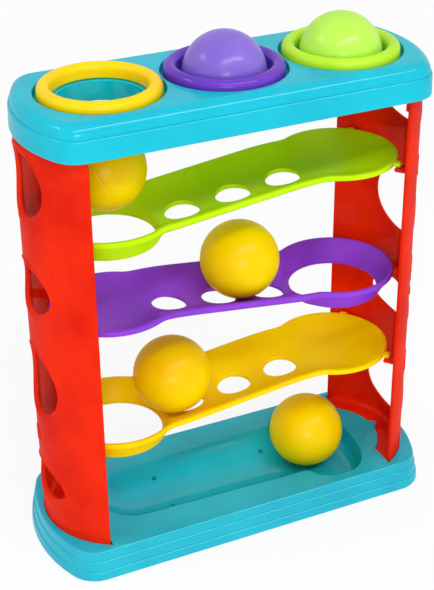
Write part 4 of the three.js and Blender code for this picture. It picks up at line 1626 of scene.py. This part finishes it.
# %% Build the base
underside_blend = 0.1
underside_step = 2.2
tray_step = 0.8
base = closed_stack(base_plan, skirt_profile(), "fine_base")
shell_hollow = closed_stack(base_plan, [
    (-cut_overrun, base_wall),
    (0, base_wall),
    (deck_height - base_wall, skirt_inset + base_wall),
], "tool")
carve(base, [shell_hollow], "DIFFERENCE")
inside = tray_solid(
    base_wall, under_deck, underside_blend, under_deck + base_wall / 4, underside_step)
ribs = [slab(x, 0, rib_thickness, 2 * base_half_width, rib_foot, under_deck) for x in rib_places]
drain_places = [(share * hole_pitch, side * drain_offset) for share in drain_shares for side in (-1, 1)]
spouts = [
    drum(drain_radius + rib_thickness / 2, spout_low, spout_high, place, drain_columns)
    for place in drain_places
]
carve(inside, ribs + spouts + seat_pieces() + at_left(seat_pieces()), "UNION")
core = closed_stack(base_plan, [(0, base_wall / 2), (under_deck, skirt_inset + base_wall / 2)], "tool")
carve(inside, [core], "INTERSECT")
carve(base, [inside], "UNION")
tray = tray_solid(0, deck_height + lip_rise, lip_blend, pocket_top, tray_step)
drains = [drum(drain_radius, -cut_overrun, pocket_top, place, drain_columns) for place in drain_places]
carve(base, [tray] + seat_cuts() + at_left(seat_cuts()) + drains, "DIFFERENCE")
dress(base, "base", turquoise_base)
level_shading(base)

# %% [markdown]
# ## Screws
# Four pan-head screws come up through the base into the panels' bosses. The thread is a ridge that
# climbs one pitch for each turn, so the radius depends on the height and the angle together. The
# ridge takes half of each pitch, grows over the first turn and fades at the tip.

# %% Screws
screw_radius = 1.45
screw_core_radius = 1.05
screw_head_radius = 3
screw_head_height = 1.9
screw_head_round = 0.9
screw_neck_round = 0.15
screw_tip_height = 14
screw_tip_cone = 1.5
thread_pitch = 1.1
screw_slot = (3.6, 1.0, 0.8)
screw_columns = 36
thread_rows = 110


def screw(node):
    """A turned head with a slot in its underside, and a threaded shaft with a pointed tip."""
    x, y, _ = centre_of(node)
    foot = box_of(node)[0][2]
    head_top = foot + screw_head_height
    section = rounded(
        [
            (0, foot), (screw_head_radius, foot),
            (screw_head_radius, head_top), (screw_core_radius, head_top),
        ],
        [0, screw_head_round, screw_neck_round, 0])
    head = lathe(section, (x, y), screw_columns)
    height = np.linspace(head_top, screw_tip_height, thread_rows)[:, None]
    turn = np.arange(screw_columns) / screw_columns
    ridge = np.clip(1 - 4 * np.abs((height / thread_pitch - turn) % 1 - 0.5), 0, 1)
    grown = np.clip((height - head_top) / thread_pitch, 0, 1)
    taper = np.clip((screw_tip_height - height) / screw_tip_cone, 0, 1)
    radius = taper * (screw_core_radius + (screw_radius - screw_core_radius) * ridge * grown)
    shaft = np.stack([
        x + radius * np.cos(2 * np.pi * turn),
        y + radius * np.sin(2 * np.pi * turn),
        np.broadcast_to(height, radius.shape),
    ], axis=-1)
    piece = skin("fine_" + node, [(head, True), (shaft, True)])
    carve(piece, [slab(x, y, *screw_slot[:2], foot - cut_overrun, foot + screw_slot[2])], "DIFFERENCE")
    dress(piece, node, zinc)


for corner in ("left_front", "left_back", "right_front", "right_back"):
    screw("base_screw_" + corner)

# %% [markdown]
# ## Floor and light
# A pale floor and a white world give soft light from everywhere, as a light tent does. For the rays
# that draw the picture and its reflections, the floor is a mixture of pale paper, which keeps the
# tower's shadow, and of a white glow. The glow's share grows to all of it some way off, so that no
# horizon shows.

# %% Floor
floor_half = 4.0
floor_gap = 0.0002
floor_roughness = 0.9
floor_glow_share = 0.84
floor_glow_fade = (0.5, 1.8)
white = linear("#FFFFFF")
picture_strength = 1.0

floor_corners = [(x * floor_half, y * floor_half, 0) for x, y in ((-1, -1), (1, -1), (1, 1), (-1, 1))]
floor_mesh = bpy.data.meshes.new("floor")
floor_mesh.from_pydata(floor_corners, [], [(0, 1, 2, 3)])
floor = bpy.data.objects.new("floor", floor_mesh)
bpy.context.scene.collection.objects.link(floor)
floor.location.z = -floor_gap
print("the floor is", 2 * floor_half, "m square")


def picture_rays(tree):
    """1 for the rays that draw the picture, its reflections and what shows through glass."""
    path = add_node(tree, "ShaderNodeLightPath")
    seen = path.outputs["Is Camera Ray"]
    for name in ("Is Glossy Ray", "Is Transmission Ray"):
        either = add_node(
            tree, "ShaderNodeMath", links={0: seen, 1: path.outputs[name]}, operation="MAXIMUM")
        seen = either.outputs["Value"]
    return seen


floor_material, tree = empty_material("pale_floor")
paper = add_node(
    tree, "ShaderNodeBsdfPrincipled",
    {"Base Color": linear("#FCFCFC"), "Roughness": floor_roughness, "Specular IOR Level": 0.0})
glow = add_node(tree, "ShaderNodeEmission", {"Color": white, "Strength": picture_strength})
place = add_node(tree, "ShaderNodeTexCoord").outputs["Object"]
distance = add_node(tree, "ShaderNodeVectorMath", links={0: place}, operation="LENGTH")
fade = add_node(
    tree, "ShaderNodeMapRange",
    {
        "From Min": floor_glow_fade[0],
        "From Max": floor_glow_fade[1],
        "To Min": floor_glow_share,
        "To Max": 1.0,
    },
    {"Value": distance.outputs["Value"]})
glow_share = add_node(
    tree, "ShaderNodeMath", links={0: picture_rays(tree), 1: fade.outputs["Result"]},
    operation="MULTIPLY")
floor_shader = add_node(tree, "ShaderNodeMixShader", links={
    0: glow_share.outputs["Value"], 1: paper.outputs["BSDF"], 2: glow.outputs["Emission"]})
add_node(tree, "ShaderNodeOutputMaterial", links={"Surface": floor_shader.outputs["Shader"]})
floor_mesh.materials.append(floor_material)

# %% [markdown]
# The world is white in the picture too, but lights the tower with less than that, so that the
# colours come out about as they are written. A long strip lamp above the front draws a bright line
# along every bevelled edge, a low lamp in front reaches under the roof, and a lamp beyond the left
# end lights the red panel there.

# %% World and lamps
tent_strength = 0.62
world = bpy.data.worlds.new("light_tent")
bpy.context.scene.world = world
world.use_nodes = True
tree = world.node_tree
tree.nodes.clear()
tent = add_node(tree, "ShaderNodeBackground", {"Color": white, "Strength": tent_strength})
backdrop = add_node(tree, "ShaderNodeBackground", {"Color": white, "Strength": picture_strength})
choice = add_node(tree, "ShaderNodeMixShader", links={
    0: picture_rays(tree), 1: tent.outputs["Background"], 2: backdrop.outputs["Background"]})
add_node(tree, "ShaderNodeOutputWorld", links={"Surface": choice.outputs["Shader"]})


def soft_lamp(name, place, width, height, watts):
    """A rectangular area lamp at place, turned towards the tower's middle. Lengths are in metres."""
    data = bpy.data.lights.new(name, "AREA")
    data.shape = "RECTANGLE"
    data.size = width
    data.size_y = height
    data.energy = watts
    lamp = bpy.data.objects.new(name, data)
    bpy.context.scene.collection.objects.link(lamp)
    lamp.location = place
    lamp.rotation_euler = (tower_middle - lamp.location).to_track_quat("-Z", "Y").to_euler()
    print("lamp", name, watts, "W")


tower_middle = Vector((0, 0, 0.15))
soft_lamp("key strip", (0.1, -1.0, 1.45), 1.7, 0.2, 10.5)
soft_lamp("low front", (-0.5, -1.4, 0.5), 0.5, 0.5, 5)
soft_lamp("left end", (-1.3, 0.4, 1.35), 0.5, 0.3, 3.5)

bpy.context.scene.view_settings.view_transform = "Standard"
